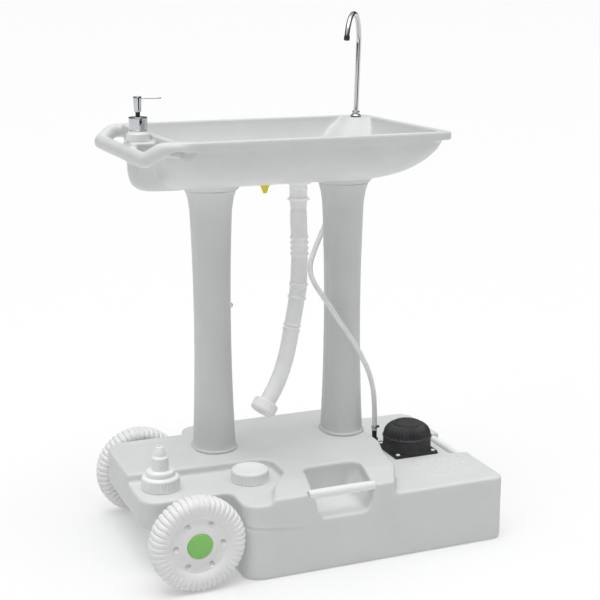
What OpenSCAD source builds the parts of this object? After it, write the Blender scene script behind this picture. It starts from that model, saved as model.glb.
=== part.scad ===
// Portable handwash sink: a water tank on two wheels, two hollow columns, a moulded basin with a
// lifting loop and soap pump, a foot-bellows pump, a gooseneck spout and a hanging drain hose.
// Millimetres. +X runs from the wheels to the foot pump, +Y to the back, +Z up.
// The origin is the centre of the tank's underside, on the floor.

/* [Tank] */
// Length of the tank along X
tank_l = 710; // [700:5:720]
// Depth of the tank along Y
tank_w = 430; // [420:5:440]
// Height of the raised deck that carries the columns
deck_z = 165; // [163:1:168]
// Height of the low platform under the foot pump
platform_z = 131; // [128:1:134]
// Height of the shelf around the two necks
shelf_z = 148; // [146:1:150]
// Wall thickness of the tank
tank_wall = 4; // [3:0.5:5]

/* [Basin] */
// Height of the basin's rim above the floor
rim_z = 810; // [808:1:812]
// Length of the basin along X, without the loop
basin_l = 528; // [526:1:530]
// Width of the basin along Y
basin_w = 386; // [382:1:390]
// Wall thickness of the bowl
basin_wall = 4; // [3.5:0.5:5]
// Radius of the lifting loop's bar
loop_r = 14; // [12:0.5:15]

/* [Columns] */
// Half width of a column at mid height
column_waist = 34; // [33:0.5:36]
// Half width of a column near its ends
column_end = 40.5; // [39:0.5:42]
// Depth added between the two round sides of a column
column_flat = 16; // [10:1:18]

/* [Wheels] */
// Radius of a wheel
wheel_r = 90; // [88:0.5:91]
// Width of a wheel
wheel_w = 50; // [46:1:52]
// Radius of the axle
axle_r = 6; // [5:0.5:6.5]

/* [Foot pump] */
// Radius of the rubber bulb
bulb_r = 51; // [48:0.5:52]
// Height of the bulb above the platform
bulb_h = 64; // [60:1:66]
/* [Spout] */
// Radius of the spout's tube
spout_r = 5; // [4.5:0.1:5.5]
// Radius of the spout's bend
bend_r = 56; // [50:1:58]
// Height of the top of the spout above the floor
spout_top = 1020; // [1000:1:1025]
// Lean of the spout towards +X, in degrees
spout_lean = 2; // [0:0.5:3]

/* [Soap pump] */
/* [Hidden] */

body_col = "#dfe1df";
white_col = "#f2f3f1";
black_col = "#242426";
steel_col = "#c8ccd0";
green_col = "#86c266";
yellow_col = "#e2cf2e";
clear_col = "#e6ebea";

eps = 0.01;
gap = 0.3;
tx = tank_l / 2;
ty = tank_w / 2;

// Wheel wells: the front one is deeper than the rear one
well_x = -186;
recess_z = 104;
well_front_y = 128;
well_rear_y = 170;
heel_z = 96;
heel_x = -200;
front_bar_z = 152;
strip_drop = 10;
strip_y = -150;

wheel_x = -275;
wheel_y = 200;
hub_r = 16;
hub_cap_r = 23.5;
axle_half = wheel_y + 17;

column_x = [-150, 130];
column_y = 75;
spigot_r = 30;
spigot_h = 17;
boss_z = 688;
boss_r = 62;

filler = [-132, -86];
outlet = [-302, -62];
neck_r = 25;
neck_bore = 20;
neck_h = 20;
cap_r = 36.5;
cap_h = 24;
nozzle_r = 16;
nozzle_bore = 9;
stem_r = 17;
flange_top = 172;
disc_top = 186;

pump = [245, -4];
plate_half = 49;
plate_t = 4;
screw_at = 40;
sump_r = 30;
tread_r = 29;
barb = [192, 42];
elbow_z = 165;

faucet = [195, 159];
ledge_z = 808;
ledge_t = 6;
nut_well_r = 17;
bend_z = spout_top - ledge_z - bend_r - spout_r;
spout_turn = 233;

soap = [-320, -42];
tongue_z = 800;
bottle_r = 17;
bottle_z = 733;
collar_z = tongue_z + 17.3;
loop_x = -341;
loop_y = 160;
loop_z = 779;

drain = [3, 0];
drain_r = 17;
bung = [-70, -12];
basin_x0 = -298;
basin_x1 = basin_x0 + basin_l;
bowl_z = 717;
floor_z = 712;

// Route of the supply hose, from the foot pump up to the spout's tail
supply_r = 5.25;
supply_route = [[192, 42, 165], [192, 42, 187], [191, 41, 209], [188, 37, 232], [183, 32, 258],
                [174, 27, 286], [163, 23, 312], [149, 20, 338], [133, 18, 365], [114, 17, 393],
                [96, 18, 420], [80, 22, 446], [66, 32, 470], [57, 46, 490], [55, 62, 507],
                [62, 80, 523], [76, 99, 540], [95, 120, 560], [115, 138, 583], [135, 150, 610],
                [155, 158, 640], [173, 161, 672], [187, 160, 706], [195, 159, 738], [195, 159, 768]];

// Route of the drain hose, from the tailpiece to the end nut
drain_hose_r = 17;
drain_route = [[3, 0, 666], [3, 0, 640], [4, 0, 610], [5, 0, 578], [5, 0, 550], [4, 0, 522],
               [2, -1, 496], [-3, -3, 470], [-9, -6, 444], [-16, -10, 417], [-24, -15, 388],
               [-34, -21, 358], [-47, -27, 330], [-62, -34, 306], [-79, -41, 285]];

function unit(v) = v / norm(v);
function last(v) = v[len(v) - 1];

// Points of a polygon whose corners [x, y, r] are rounded by arcs of radius r
function corner(p, i, n) =
    let (a = p[(i + n - 1) % n], b = p[i], c = p[(i + 1) % n],
         u = unit([a[0] - b[0], a[1] - b[1]]), v = unit([c[0] - b[0], c[1] - b[1]]),
         half = acos(u * v) / 2, d = b[2] / tan(half), w = unit(u + v),
         centre = [b[0], b[1]] + w * b[2] / sin(half),
         s = [b[0], b[1]] + u * d - centre, e = [b[0], b[1]] + v * d - centre,
         turn = atan2(s[0] * e[1] - s[1] * e[0], s * e))
    b[2] == 0 ? [[b[0], b[1]]]
    : [for (k = [0:8]) let (t = turn * k / 8)
        centre + [s[0] * cos(t) - s[1] * sin(t), s[0] * sin(t) + s[1] * cos(t)]];
function rounded(p) = [for (i = [0:len(p) - 1]) each corner(p, i, len(p))];

// A round tube swept along a route, with its frame carried along without twist
function tangent(p, i) = unit(p[min(i + 1, len(p) - 1)] - p[max(i - 1, 0)]);
function carried(n, t) = unit(n - t * (n * t));
function normals(p, i = 0, n = [1, 0, 0], out = []) =
    i == len(p) ? out
    : let (m = carried(n, tangent(p, i))) normals(p, i + 1, m, concat(out, [m]));
module swept(p, r, sides) {
    n = normals(p);
    rings = [for (i = [0:len(p) - 1]) let (t = tangent(p, i), b = cross(t, n[i]))
        for (k = [0:sides - 1]) p[i] + r * (n[i] * cos(360 * k / sides) + b * sin(360 * k / sides))];
    walls = [for (i = [0:len(p) - 2], k = [0:sides - 1]) let (a = i * sides, j = (k + 1) % sides)
        [a + k, a + sides + k, a + sides + j, a + j]];
    first_end = [for (k = [0:sides - 1]) k];
    last_end = [for (k = [sides - 1:-1:0]) (len(p) - 1) * sides + k];
    polyhedron(points = rings, faces = concat(walls, [first_end, last_end]), convexity = 6);
}

module ring(r_out, r_in, h, facets = 72) {
    difference() {
        cylinder(h = h, r = r_out, $fn = facets);
        translate([0, 0, -1]) cylinder(h = h + 2, r = r_in, $fn = facets);
    }
}
module bar_y(r, length) rotate([90, 0, 0]) cylinder(h = length, r = r, center = true, $fn = 48);
module bar_x(r, length) rotate([0, 90, 0]) cylinder(h = length, r = r, center = true, $fn = 48);
module at(p, z = 0) translate([p[0], p[1], z]) children();

// ---- tank ----
function tank_outline(t) = rounded([
    [-tx + t, -well_front_y + t, 38 - t], [well_x + t, -well_front_y + t, 14 + t],
    [well_x + t, -ty + t, 34 - t], [tx - t, -ty + t, 18 - t], [tx - t, ty - t, 30 - t],
    [well_x + t, ty - t, 34 - t], [well_x + t, well_rear_y - t, 14 + t],
    [-tx + t, well_rear_y - t, 38 - t]]);
module deck_area(t) {
    polygon(rounded([[-tx - 1, -ty - 1, 0], [113 - t, -ty - 1, 0], [146 - t, -150, 40],
                     [156 - t, -75, 60], [174 - t, -20, 60], [174 - t, ty + 1, 0],
                     [-tx - 1, ty + 1, 0]]));
}
module shelf_area(t) {
    polygon(rounded([[-tx - 20, -ty - 1, 0], [-134 + t, -ty - 1, 0], [-112 + t, -160, 30],
                     [-72 + t, -108, 26], [-72 + t, -30 + t, 30], [-tx - 20, -16 + t, 0]]));
}
module recess_front(t) {
    // plan of the front hand recess, met by its front view
    intersection() {
        translate([0, 0, recess_z - t]) linear_extrude(90)
            polygon(rounded([[-54 - t, -ty - 5, 0], [67 + t, -ty - 5, 0], [84 + t, -104 + t, 18],
                             [-30 - t, -104 + t, 18]]));
        translate([0, -60, 0]) rotate([90, 0, 0]) linear_extrude(160)
            polygon(rounded([[-58 - t, 180, 0], [-38 - t, recess_z - t, 12],
                             [58 + t, recess_z - t, 12], [94 + t, 180, 0]]));
    }
}
module recess_end(t) {
    translate([318 - t, 0, 76 - t]) linear_extrude(60 + t)
        polygon(rounded([[0, -60 - t, 12], [42 + t, -60 - t, 0], [42 + t, 60 + t, 0],
                         [0, 60 + t, 12]]));
}
module heel_cut(t) {
    // sloping underside at the wheel end
    rotate([90, 0, 0]) linear_extrude(tank_w + 20, center = true)
        polygon([[-tx - 20, -20], [heel_x + t, -20], [heel_x + t, t], [-tx - 20 + t,
                 heel_z + 12 + t], [-tx - 20, heel_z + 12 + t]]);
}
module socket(t) {
    for (x = column_x) translate([x, column_y, deck_z - spigot_h - 1 - t])
        stadium(spigot_r + gap + t, spigot_h + 30 + t);
}
module stadium(r, h) {
    for (s = [-1, 1]) translate([0, s * column_flat / 2, 0]) cylinder(h = h, r = r, $fn = 72);
    translate([-r, -column_flat / 2, 0]) cube([2 * r, column_flat, h]);
}
module neck_outer(p) at(p, shelf_z - 2) cylinder(h = neck_h + 2, r = neck_r, $fn = 72);
module strip_cut() {
    // the deck falls a little towards its front edge
    translate([-tx - 5, strip_y, deck_z]) rotate([atan2(strip_drop, ty + strip_y), 0, 0])
        translate([0, -120, 0]) cube([tank_l, 120, 40]);
}

module tank() {
    color(body_col) difference() {
        union() {
            difference() {
                linear_extrude(platform_z) polygon(tank_outline(0));
                recess_front(0);
            }
            difference() {
                intersection() {
                    linear_extrude(deck_z) polygon(tank_outline(0));
                    linear_extrude(deck_z) deck_area(0);
                }
                translate([0, 0, shelf_z]) linear_extrude(40) shelf_area(0);
                strip_cut();
                recess_front(0);
            }
            neck_outer(filler);
            neck_outer(outlet);
            for (s = [-1, 1]) let (y0 = s < 0 ? well_front_y : well_rear_y)
                translate([wheel_x, s * (y0 - 2 + wheel_y - wheel_w / 2 - 3) / 2, wheel_r])
                    bar_y(20, wheel_y - wheel_w / 2 - 3 - y0 + 2);
        }
        tank_cavity();
        heel_cut(0);
        recess_end(0);
        socket(0);
        at(filler, shelf_z - 30) cylinder(h = 80, r = neck_bore, $fn = 72);
        at(outlet, shelf_z - 30) cylinder(h = 80, r = neck_bore, $fn = 72);
        at(pump, platform_z - 10) cylinder(h = 20, r = sump_r, $fn = 72);
        at(pump, platform_z + 6.7) pump_screw_holes();
        translate([wheel_x, 0, wheel_r]) bar_y(axle_r + 0.05, tank_w);
        // ends of the two handle bars
        translate([7, -207, front_bar_z]) bar_x(9.3, 136);
        translate([343, 0, 118]) bar_y(8.3, 140);
    }
}
module tank_cavity() {
    w = tank_wall;
    difference() {
        union() {
            translate([0, 0, w]) linear_extrude(platform_z - 2 * w) polygon(tank_outline(w));
            intersection() {
                translate([0, 0, w]) linear_extrude(deck_z - 2 * w - strip_drop)
                    polygon(tank_outline(w));
                translate([0, 0, w]) linear_extrude(deck_z) deck_area(w);
            }
        }
        translate([0, 0, shelf_z - w]) linear_extrude(60) shelf_area(w);
        recess_front(w);
        recess_end(w);
        heel_cut(w);
        socket(w);
        translate([wheel_x, 0, wheel_r]) bar_y(axle_r + 5, tank_w);
        translate([7, -207, front_bar_z]) bar_x(9.3 + w, 136 + 2 * w);
        translate([343, 0, 118]) bar_y(8.3 + w, 140 + 2 * w);
    }
}

// ---- columns ----
function column_w(z) = column_waist + (column_end - column_waist) * pow((z - 430) / 255, 2);
function column_side(t) = [for (k = [0:10]) let (z = deck_z + 8 + (boss_z - 40 - deck_z - 8) * k / 10)
    [column_w(z) - t, z]];
function column_profile(t, z0, z1) = concat([[0, z0]], [[column_w(deck_z) - t, z0]], column_side(t),
    [[column_w(boss_z) + 2 - t, boss_z - 14], [column_w(boss_z) + 7 - t, z1], [0, z1]]);
module column_lathe(t, z0, z1) {
    for (s = [0, 180]) rotate([0, 0, s]) translate([0, column_flat / 2, 0])
        rotate_extrude(angle = 180, $fn = 96) polygon(column_profile(t, z0, z1));
    rotate([90, 0, 0]) linear_extrude(column_flat, center = true)
        union() {
            polygon(column_profile(t, z0, z1));
            mirror([1, 0]) polygon(column_profile(t, z0, z1));
        }
}
module column() {
    color(body_col) difference() {
        union() {
            column_lathe(0, deck_z + 0.2, boss_z - 0.2);
            translate([0, 0, deck_z + 0.2]) stadium(column_end + 2.5, 6);
            translate([0, 0, deck_z - spigot_h]) stadium(spigot_r, spigot_h + 1);
            translate([0, 0, boss_z - 1]) stadium(spigot_r, spigot_h);
        }
        translate([0, 0, deck_z - 30]) stadium(spigot_r - 3, boss_z - deck_z + 60);
    }
}
module column_left() {
    translate([column_x[0], column_y, 0]) column();
    // tie ring on the inner seam
    color(body_col) translate([column_x[0] + column_waist + 4, column_y, 455])
        rotate([90, 0, 0]) translate([0, 0, -1.5]) ring(5.5, 2.6, 3, 32);
}
module column_right() translate([column_x[1], column_y, 0]) column();

// ---- basin ----
module slab(z, x0, x1, half, r, h = 0.5) {
    translate([0, 0, z]) linear_extrude(h)
        polygon(rounded([[x0, -half, r], [x1, -half, r], [x1, half, r], [x0, half, r]]));
}
module basin_outer() {
    hw = basin_w / 2;
    hull() {
        slab(floor_z, basin_x0 + 36, basin_x1 - 110, 60, 50);
        slab(floor_z + 6, basin_x0 + 18, basin_x1 - 80, hw - 88, 60);
        slab(floor_z + 21, basin_x0 + 6, basin_x1 - 52, hw - 45, 60);
        slab(floor_z + 43, basin_x0 + 1, basin_x1 - 25, hw - 19, 55);
        slab(floor_z + 68, basin_x0, basin_x1 - 8, hw - 5, 45);
        slab(rim_z - 18, basin_x0, basin_x1 - 5, hw - 4, 40);
    }
    translate([0, 0, rim_z - 16]) linear_extrude(16)
        polygon(rounded([[basin_x0, -hw, 38], [basin_x1, -hw, 9], [basin_x1, hw, 20], [basin_x0, hw, 38]]));
}
module basin_inner() {
    hw = basin_w / 2 - basin_wall;
    difference() {
        hull() {
            slab(bowl_z, basin_x0 + 60, basin_x1 - 115, 56, 46);
            slab(bowl_z + 8, basin_x0 + 46, basin_x1 - 84, hw - 92, 56);
            slab(bowl_z + 22, basin_x0 + 38, basin_x1 - 58, hw - 50, 56);
            slab(bowl_z + 46, basin_x0 + 28, basin_x1 - 30, hw - 24, 50);
            slab(rim_z + 1, basin_x0 + 16, basin_x1 - 15, hw - 11, 28);
        }
        // corner ledge for the spout
        translate([0, 0, bowl_z - 20]) linear_extrude(ledge_z - bowl_z + 20)
            polygon(rounded([[faucet[0] - 26, ty, 0], [faucet[0] - 26, faucet[1] - 26, 22],
                             [tx, faucet[1] - 26, 0], [tx, ty, 0]]));
    }
}
module loop_leg(a, b) hull() for (p = [a, b]) translate(p) sphere(r = loop_r, $fn = 28);
module basin() {
    color(body_col) difference() {
        union() {
            basin_outer();
            for (x = column_x) translate([x, column_y, boss_z])
                cylinder(h = 60, r1 = boss_r - 6, r2 = boss_r + 6, $fn = 72);
            // lifting loop
            for (s = [-1, 1]) {
                loop_leg([loop_x, s * loop_y, loop_z], [basin_x0 - 17, s * 172, rim_z - loop_r]);
                loop_leg([basin_x0 - 17, s * 172, rim_z - loop_r], [basin_x0 + 12, s * 178, rim_z - loop_r]);
                translate([loop_x, s * loop_y, loop_z]) sphere(r = loop_r, $fn = 48);
            }
            translate([loop_x, 0, loop_z]) bar_y(loop_r, 2 * loop_y);
            // tongue and pocket of the soap bottle
            translate([loop_x, soap[1] - 30, tongue_z - 8]) cube([basin_x0 - loop_x + 8, 60, 8]);
            hull() {
                at(soap + [26, 0], floor_z - 3) cylinder(h = 1, r = 12, $fn = 48);
                at(soap + [12, 0], floor_z + 3) cylinder(h = 1, r = 18, $fn = 64);
                at(soap + [2, 0], floor_z + 15) cylinder(h = 1, r = 20, $fn = 64);
                at(soap, bottle_z - 3) cylinder(h = tongue_z - bottle_z + 3, r = bottle_r + 3.5, $fn = 64);
                at(soap + [52, 0], floor_z - 3) cylinder(h = tongue_z - floor_z + 3, r = bottle_r + 8, $fn = 64);
            }
        }
        basin_inner();
        socket_top();
        at(soap, bottle_z - 0.2) cylinder(h = 120, r = bottle_r + gap, $fn = 64);
        at(drain, floor_z - 10) cylinder(h = 20, r = drain_r + gap, $fn = 72);
        at(bung, floor_z - 10) cylinder(h = 20, r = 7.3, $fn = 48);
        at(faucet, floor_z - 20) cylinder(h = ledge_z - ledge_t - floor_z + 20, r = nut_well_r,
                                          $fn = 64);
        at(faucet, ledge_z - 20) cylinder(h = 40, r = 8, $fn = 48);
    }
}
module socket_top() {
    for (x = column_x) translate([x, column_y, boss_z - 1])
        stadium(spigot_r + gap, spigot_h + 1);
}

// ---- caps ----
module ribs(r, h, n, rib = 1.4) {
    for (k = [0:n - 1]) rotate([0, 0, 360 * k / n]) translate([r - 0.6, 0, 0])
        cylinder(h = h, r = rib, $fn = 24);
}
module filler_cap() {
    color(white_col) at(filler, shelf_z + 1) difference() {
        union() {
            cylinder(h = cap_h - 4, r = cap_r - 1.5, $fn = 96);
            translate([0, 0, cap_h - 4]) cylinder(h = 4, r1 = cap_r - 1.5, r2 = cap_r - 6, $fn = 96);
            translate([0, 0, 1.5]) ribs(cap_r - 1.5, cap_h - 7, 36);
        }
        translate([0, 0, -1]) cylinder(h = cap_h - 2, r = neck_r + gap, $fn = 72);
    }
}
module filler_seal() {
    color(black_col) at(filler, shelf_z + neck_h + 0.3) ring(neck_r - 0.5, neck_bore, 1.6);
}
module outlet_ring() {
    // its inner lip presses the nozzle's flange onto the neck
    color(white_col) at(outlet, shelf_z + 1) difference() {
        union() {
            cylinder(h = cap_h, r = cap_r - 1.5, $fn = 96);
            translate([0, 0, cap_h]) cylinder(h = 2, r1 = cap_r - 1.5, r2 = cap_r - 4, $fn = 96);
            translate([0, 0, 1.5]) ribs(cap_r - 1.5, cap_h - 3, 36);
        }
        translate([0, 0, -1]) cylinder(h = flange_top - shelf_z + gap, r = neck_r + gap, $fn = 72);
        translate([0, 0, -1]) cylinder(h = cap_h + 6, r = stem_r + gap, $fn = 72);
    }
}
module outlet_nozzle() {
    color(white_col) at(outlet) difference() {
        union() {
            translate([0, 0, flange_top - 2]) cylinder(h = 2, r = neck_r - 0.5, $fn = 72);
            translate([0, 0, flange_top - 1]) cylinder(h = 16, r = stem_r, $fn = 72);
            translate([0, 0, disc_top]) cylinder(h = 24, r = nozzle_r, $fn = 72);
            translate([0, 0, disc_top + 24]) cylinder(h = 4, r1 = nozzle_r, r2 = 12.5, $fn = 72);
            translate([0, 0, disc_top + 28]) cylinder(h = 18, r1 = 12.5, r2 = 6.5, $fn = 72);
        }
        translate([0, 0, flange_top - 3]) cylinder(h = 40, r = nozzle_bore, $fn = 48);
        translate([0, 0, flange_top + 20]) cylinder(h = 60, r = 3, $fn = 36);
    }
}
module outlet_lock_disc() {
    color(white_col) at(outlet, disc_top - 10.5) difference() {
        union() {
            cylinder(h = 8.5, r = 28, $fn = 72);
            translate([0, 0, 8.5]) cylinder(h = 2, r1 = 28, r2 = 25, $fn = 72);
        }
        translate([0, 0, -1]) cylinder(h = 20, r = stem_r + 0.1, $fn = 72);
    }
}
module outlet_seal() {
    color(black_col) at(outlet, shelf_z + neck_h + 0.2) ring(neck_r - 0.5, neck_bore, 1.6);
}

// ---- handle bars ----
module front_handle_bar() {
    color(white_col) {
        translate([7, -207, front_bar_z]) bar_x(9, 134);
        for (x = [-42, 57]) translate([x - 3, -207, front_bar_z - 11]) cube([6, 8, 12]);
    }
}
module end_handle_bar() color(white_col) translate([343, 0, 118]) bar_y(8, 138);

// ---- wheels ----
module wheel_section() {
    h = wheel_w / 2;
    polygon([[axle_r + 0.05, -h], [hub_r, -h], [hub_r + 2, -h + 22], [wheel_r - 34, -h + 22],
             [wheel_r - 28, -h + 4], [wheel_r - 14, -h], [wheel_r - 5, -h + 6], [wheel_r, -h + 16],
             [wheel_r, h - 16], [wheel_r - 5, h - 6], [wheel_r - 14, h], [wheel_r - 28, h - 1],
             [wheel_r - 38, h - 6], [hub_cap_r + 4, h - 8], [hub_cap_r + 0.2, h - 8],
             [hub_cap_r + 0.2, h - 12], [axle_r + 0.05, h - 12]]);
}
module wheel() {
    // axis on Z with the outer face up
    difference() {
        rotate_extrude($fn = 96) wheel_section();
        for (k = [0:5]) rotate([0, 0, 30 + 60 * k]) translate([0.49 * wheel_r, 0, -wheel_w])
            cylinder(h = 2 * wheel_w, r = 0.065 * wheel_r, $fn = 36);
    }
}
module hub_cap() {
    // dome over the axle end and its push nut
    z0 = wheel_w / 2 - 12;
    difference() {
        union() {
            translate([0, 0, z0 + 0.1]) cylinder(h = 6, r = hub_cap_r, $fn = 72);
            translate([0, 0, z0 + 6.1]) cylinder(h = 2.4, r1 = hub_cap_r, r2 = hub_cap_r - 2.5,
                                                 $fn = 72);
        }
        translate([0, 0, z0 - 1]) cylinder(h = 7.2, r = hub_cap_r - 3, $fn = 72);
    }
}
module on_front_wheel() translate([wheel_x, -wheel_y, wheel_r]) rotate([90, 0, 0]) children();
module on_rear_wheel() translate([wheel_x, wheel_y, wheel_r]) rotate([-90, 0, 0]) children();
module wheel_front() color(white_col) on_front_wheel() wheel();
module wheel_rear() color(white_col) on_rear_wheel() wheel();
module hub_cap_front() color(green_col) on_front_wheel() hub_cap();
module hub_cap_rear() color(green_col) on_rear_wheel() hub_cap();
module axle() color(steel_col) translate([wheel_x, 0, wheel_r]) bar_y(axle_r, 2 * axle_half);
module axle_spacers() {
    color(black_col) for (s = [-1, 1]) translate([wheel_x, s * (wheel_y - wheel_w / 2 - 1.5), wheel_r])
        rotate([90, 0, 0]) translate([0, 0, -1]) ring(11, axle_r + 0.05, 2, 48);
}
module axle_push_nuts() {
    color(steel_col) for (s = [-1, 1]) translate([wheel_x, s * (wheel_y + 14.5), wheel_r])
        rotate([90, 0, 0]) translate([0, 0, -0.8]) ring(11, axle_r, 1.6, 48);
}

// ---- foot pump ----
module pump_gasket() {
    color(black_col) at(pump, platform_z) difference() {
        translate([-plate_half, -plate_half, 0]) cube([2 * plate_half, 2 * plate_half, 1]);
        translate([0, 0, -1]) cylinder(h = 3, r = sump_r - 1, $fn = 72);
        pump_screw_holes();
    }
}
module pump_screw_holes() {
    for (sx = [-1, 1], sy = [-1, 1]) translate([sx * screw_at, sy * screw_at, -10])
        cylinder(h = 30, r = 2.1, $fn = 36);
}
module pump_base_plate() {
    z0 = platform_z + 1;
    color(black_col) difference() {
        union() {
            at(pump, z0) linear_extrude(plate_t) polygon(rounded([for (c = [[-1, -1], [1, -1], [1, 1],
                [-1, 1]]) [c[0] * plate_half, c[1] * plate_half, 7]]));
            at(pump, platform_z - 22) cylinder(h = 23 + eps, r = 12, $fn = 48);
            // outlet arm to the elbow
            translate([barb[0] - 8, barb[1] - 8, z0]) cube([30, 16, plate_t]);
        }
        at(pump, platform_z - 30) cylinder(h = 60, r = 5.2, $fn = 36);
        at(pump, z0) pump_screw_holes();
        at(barb, z0 - 1) cylinder(h = 10, r = 3, $fn = 36);
    }
}
module pump_screws() {
    color(white_col) for (sx = [-1, 1], sy = [-1, 1])
        at(pump + [sx * screw_at, sy * screw_at], platform_z - 3) {
            cylinder(h = plate_t + 4, r = 2, $fn = 36);
            translate([0, 0, plate_t + 4]) cylinder(h = 2.4, r1 = 4.4, r2 = 3, $fn = 48);
        }
}
module bulb_profile(t) {
    z0 = platform_z + 1 + plate_t;
    z1 = platform_z + bulb_h - 6;
    polygon([[0, z0], [bulb_r - 2 - t, z0], [bulb_r - t, z0 + 6], [bulb_r - t, z1 - 22],
             [bulb_r - 3 - t, z1 - 14], [bulb_r - 9 - t, z1 - 6], [tread_r - t, z1 - t],
             [0, z1 - t]]);
}
module pump_bulb() {
    color(black_col) at(pump) difference() {
        rotate_extrude($fn = 96) bulb_profile(0);
        rotate_extrude($fn = 96) intersection() {
            bulb_profile(3);
            square([100, 1000]);
        }
    }
}
module pump_tread_cap() {
    color(black_col) at(pump, platform_z + bulb_h - 6) {
        cylinder(h = 3, r = tread_r, $fn = 72);
        translate([0, 0, 3]) cylinder(h = 3, r1 = tread_r, r2 = tread_r - 8, $fn = 72);
    }
}
function helix(r, z0, z1, turns, steps) = [for (k = [0:steps])
    [r * cos(360 * turns * k / steps), r * sin(360 * turns * k / steps), z0 + (z1 - z0) * k / steps]];
module pump_spring() {
    z0 = platform_z + 1 + plate_t + 1.3;
    color(steel_col) at(pump) swept(helix(20, z0, platform_z + bulb_h - 6 - 4.6, 5, 80), 1.2, 6);
}
module pump_inlet_valve() {
    color(black_col) at(pump, platform_z + 1 + plate_t + 0.1) cylinder(h = 1.2, r = 9, $fn = 48);
}
module pump_outlet_valve() {
    color(black_col) at(barb, platform_z + 1 + plate_t - 1.5) cylinder(h = 1.2, r = 2.8, $fn = 36);
}
module pump_outlet_elbow() {
    z0 = platform_z + 1 + plate_t;
    color(black_col) at(barb, z0) difference() {
        union() {
            cylinder(h = 12, r = 7.5, $fn = 48);
            cylinder(h = elbow_z - z0, r = 5, $fn = 48);
        }
        translate([0, 0, -1]) cylinder(h = 60, r = 3, $fn = 36);
    }
}
module suction_tube() {
    color(clear_col) at(pump, 16) difference() {
        cylinder(h = platform_z - 22 - 16, r = 5.2, $fn = 48);
        translate([0, 0, -1]) cylinder(h = 200, r = 3.5, $fn = 36);
    }
}
module suction_strainer() {
    color(white_col) at(pump, 6) difference() {
        cylinder(h = 10, r = 11, $fn = 48);
        translate([0, 0, 2]) cylinder(h = 20, r = 3.5, $fn = 36);
        for (k = [0:2]) rotate([0, 0, 60 * k]) translate([0, 0, 4.5]) bar_x(1.2, 40);
    }
}

// ---- supply hose ----
module supply_hose() color(clear_col) swept(supply_route, supply_r, 10);
module hose_clip_lower() color(steel_col) at(barb, elbow_z + 4) clip();
module hose_clip_upper() color(steel_col) at(faucet, last(supply_route)[2] - 12) clip();
module clip() {
    ring(supply_r + 1.3, supply_r + gap, 6, 48);
    translate([supply_r + 1, -2.5, 1]) cube([4, 5, 4]);
}

// ---- spout ----
module leaned() at(faucet, ledge_z) rotate([0, spout_lean, 0]) children();
module faucet_spout() {
    color(steel_col) leaned() rotate([0, 0, spout_turn]) difference() {
        union() {
            translate([0, 0, 2]) cylinder(h = bend_z - 2, r = spout_r, $fn = 48);
            translate([bend_r, 0, bend_z]) rotate([90, 0, 0]) rotate([0, 0, 14])
                rotate_extrude(angle = 166, $fn = 96) translate([bend_r, 0])
                    circle(r = spout_r, $fn = 48);
        }
        translate([0, 0, -1]) cylinder(h = bend_z - 20, r = spout_r - 1.2, $fn = 36);
    }
}
module faucet_outlet_ring() {
    // aerator sleeve on the end of the bend
    color(black_col) leaned() rotate([0, 0, spout_turn]) translate([bend_r, 0, bend_z])
        rotate([0, -14, 0]) translate([bend_r, 0, -9]) difference() {
            cylinder(h = 9, r = spout_r + 0.8, $fn = 48);
            translate([0, 0, -1]) cylinder(h = 8, r = spout_r - 1.5, $fn = 36);
        }
}
module faucet_base() {
    color(steel_col) leaned() difference() {
        union() {
            translate([0, 0, 1.6]) cylinder(h = 3, r1 = 11.4, r2 = 9.4, $fn = 72);
            translate([0, 0, 4.6]) cylinder(h = 8, r = 8, $fn = 48);
        }
        translate([0, 0, -1]) cylinder(h = 30, r = spout_r + 0.05, $fn = 48);
    }
}
module faucet_washer() color(black_col) leaned() translate([0, 0, 0.5]) ring(10.8, 8.2, 1, 48);
module faucet_tail() {
    // threaded shank through the ledge, ending in the hose tail
    color(steel_col) difference() {
        union() {
            at(faucet, ledge_z - 22) cylinder(h = 22, r = 7, $fn = 48);
            at(faucet, last(supply_route)[2]) cylinder(h = ledge_z - 21 - last(supply_route)[2], r = 5.25, $fn = 48);
        }
        at(faucet, last(supply_route)[2] - 1) cylinder(h = 60, r = 3.2, $fn = 36);
    }
}
module faucet_nut() {
    color(white_col) at(faucet, ledge_z - ledge_t - 8) difference() {
        cylinder(h = 7.8, r = 14, $fn = 6);
        translate([0, 0, -1]) cylinder(h = 20, r = 7 + gap, $fn = 48);
    }
}

// ---- soap pump ----
module soap_bottle() {
    color(white_col) at(soap) difference() {
        union() {
            translate([0, 0, bottle_z]) cylinder(h = tongue_z - bottle_z, r = bottle_r, $fn = 64);
            translate([0, 0, tongue_z + 0.2]) cylinder(h = 13.8, r = 21.5, $fn = 72);
            translate([0, 0, tongue_z + 14]) cylinder(h = 3, r1 = 21.5, r2 = 18, $fn = 72);
            translate([0, 0, tongue_z]) cylinder(h = 26, r = 13, $fn = 48);
        }
        translate([0, 0, bottle_z + 2]) cylinder(h = tongue_z - bottle_z - 4, r = bottle_r - 2, $fn = 64);
        translate([0, 0, tongue_z - 10]) cylinder(h = 60, r = 10, $fn = 48);
    }
}
module soap_collar() {
    color(steel_col) at(soap, collar_z) difference() {
        cylinder(h = 25, r1 = 16.5, r2 = 17, $fn = 72);
        translate([0, 0, -1]) cylinder(h = 16, r = 13 + gap, $fn = 48);
        translate([0, 0, -1]) cylinder(h = 40, r = 4.6, $fn = 36);
    }
}
module soap_plunger() {
    color(steel_col) at(soap) {
        translate([0, 0, collar_z - 20]) cylinder(h = 58, r = 4.3, $fn = 36);
        translate([0, 0, collar_z - 22]) cylinder(h = 5, r = 7.5, $fn = 36);
    }
}
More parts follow.
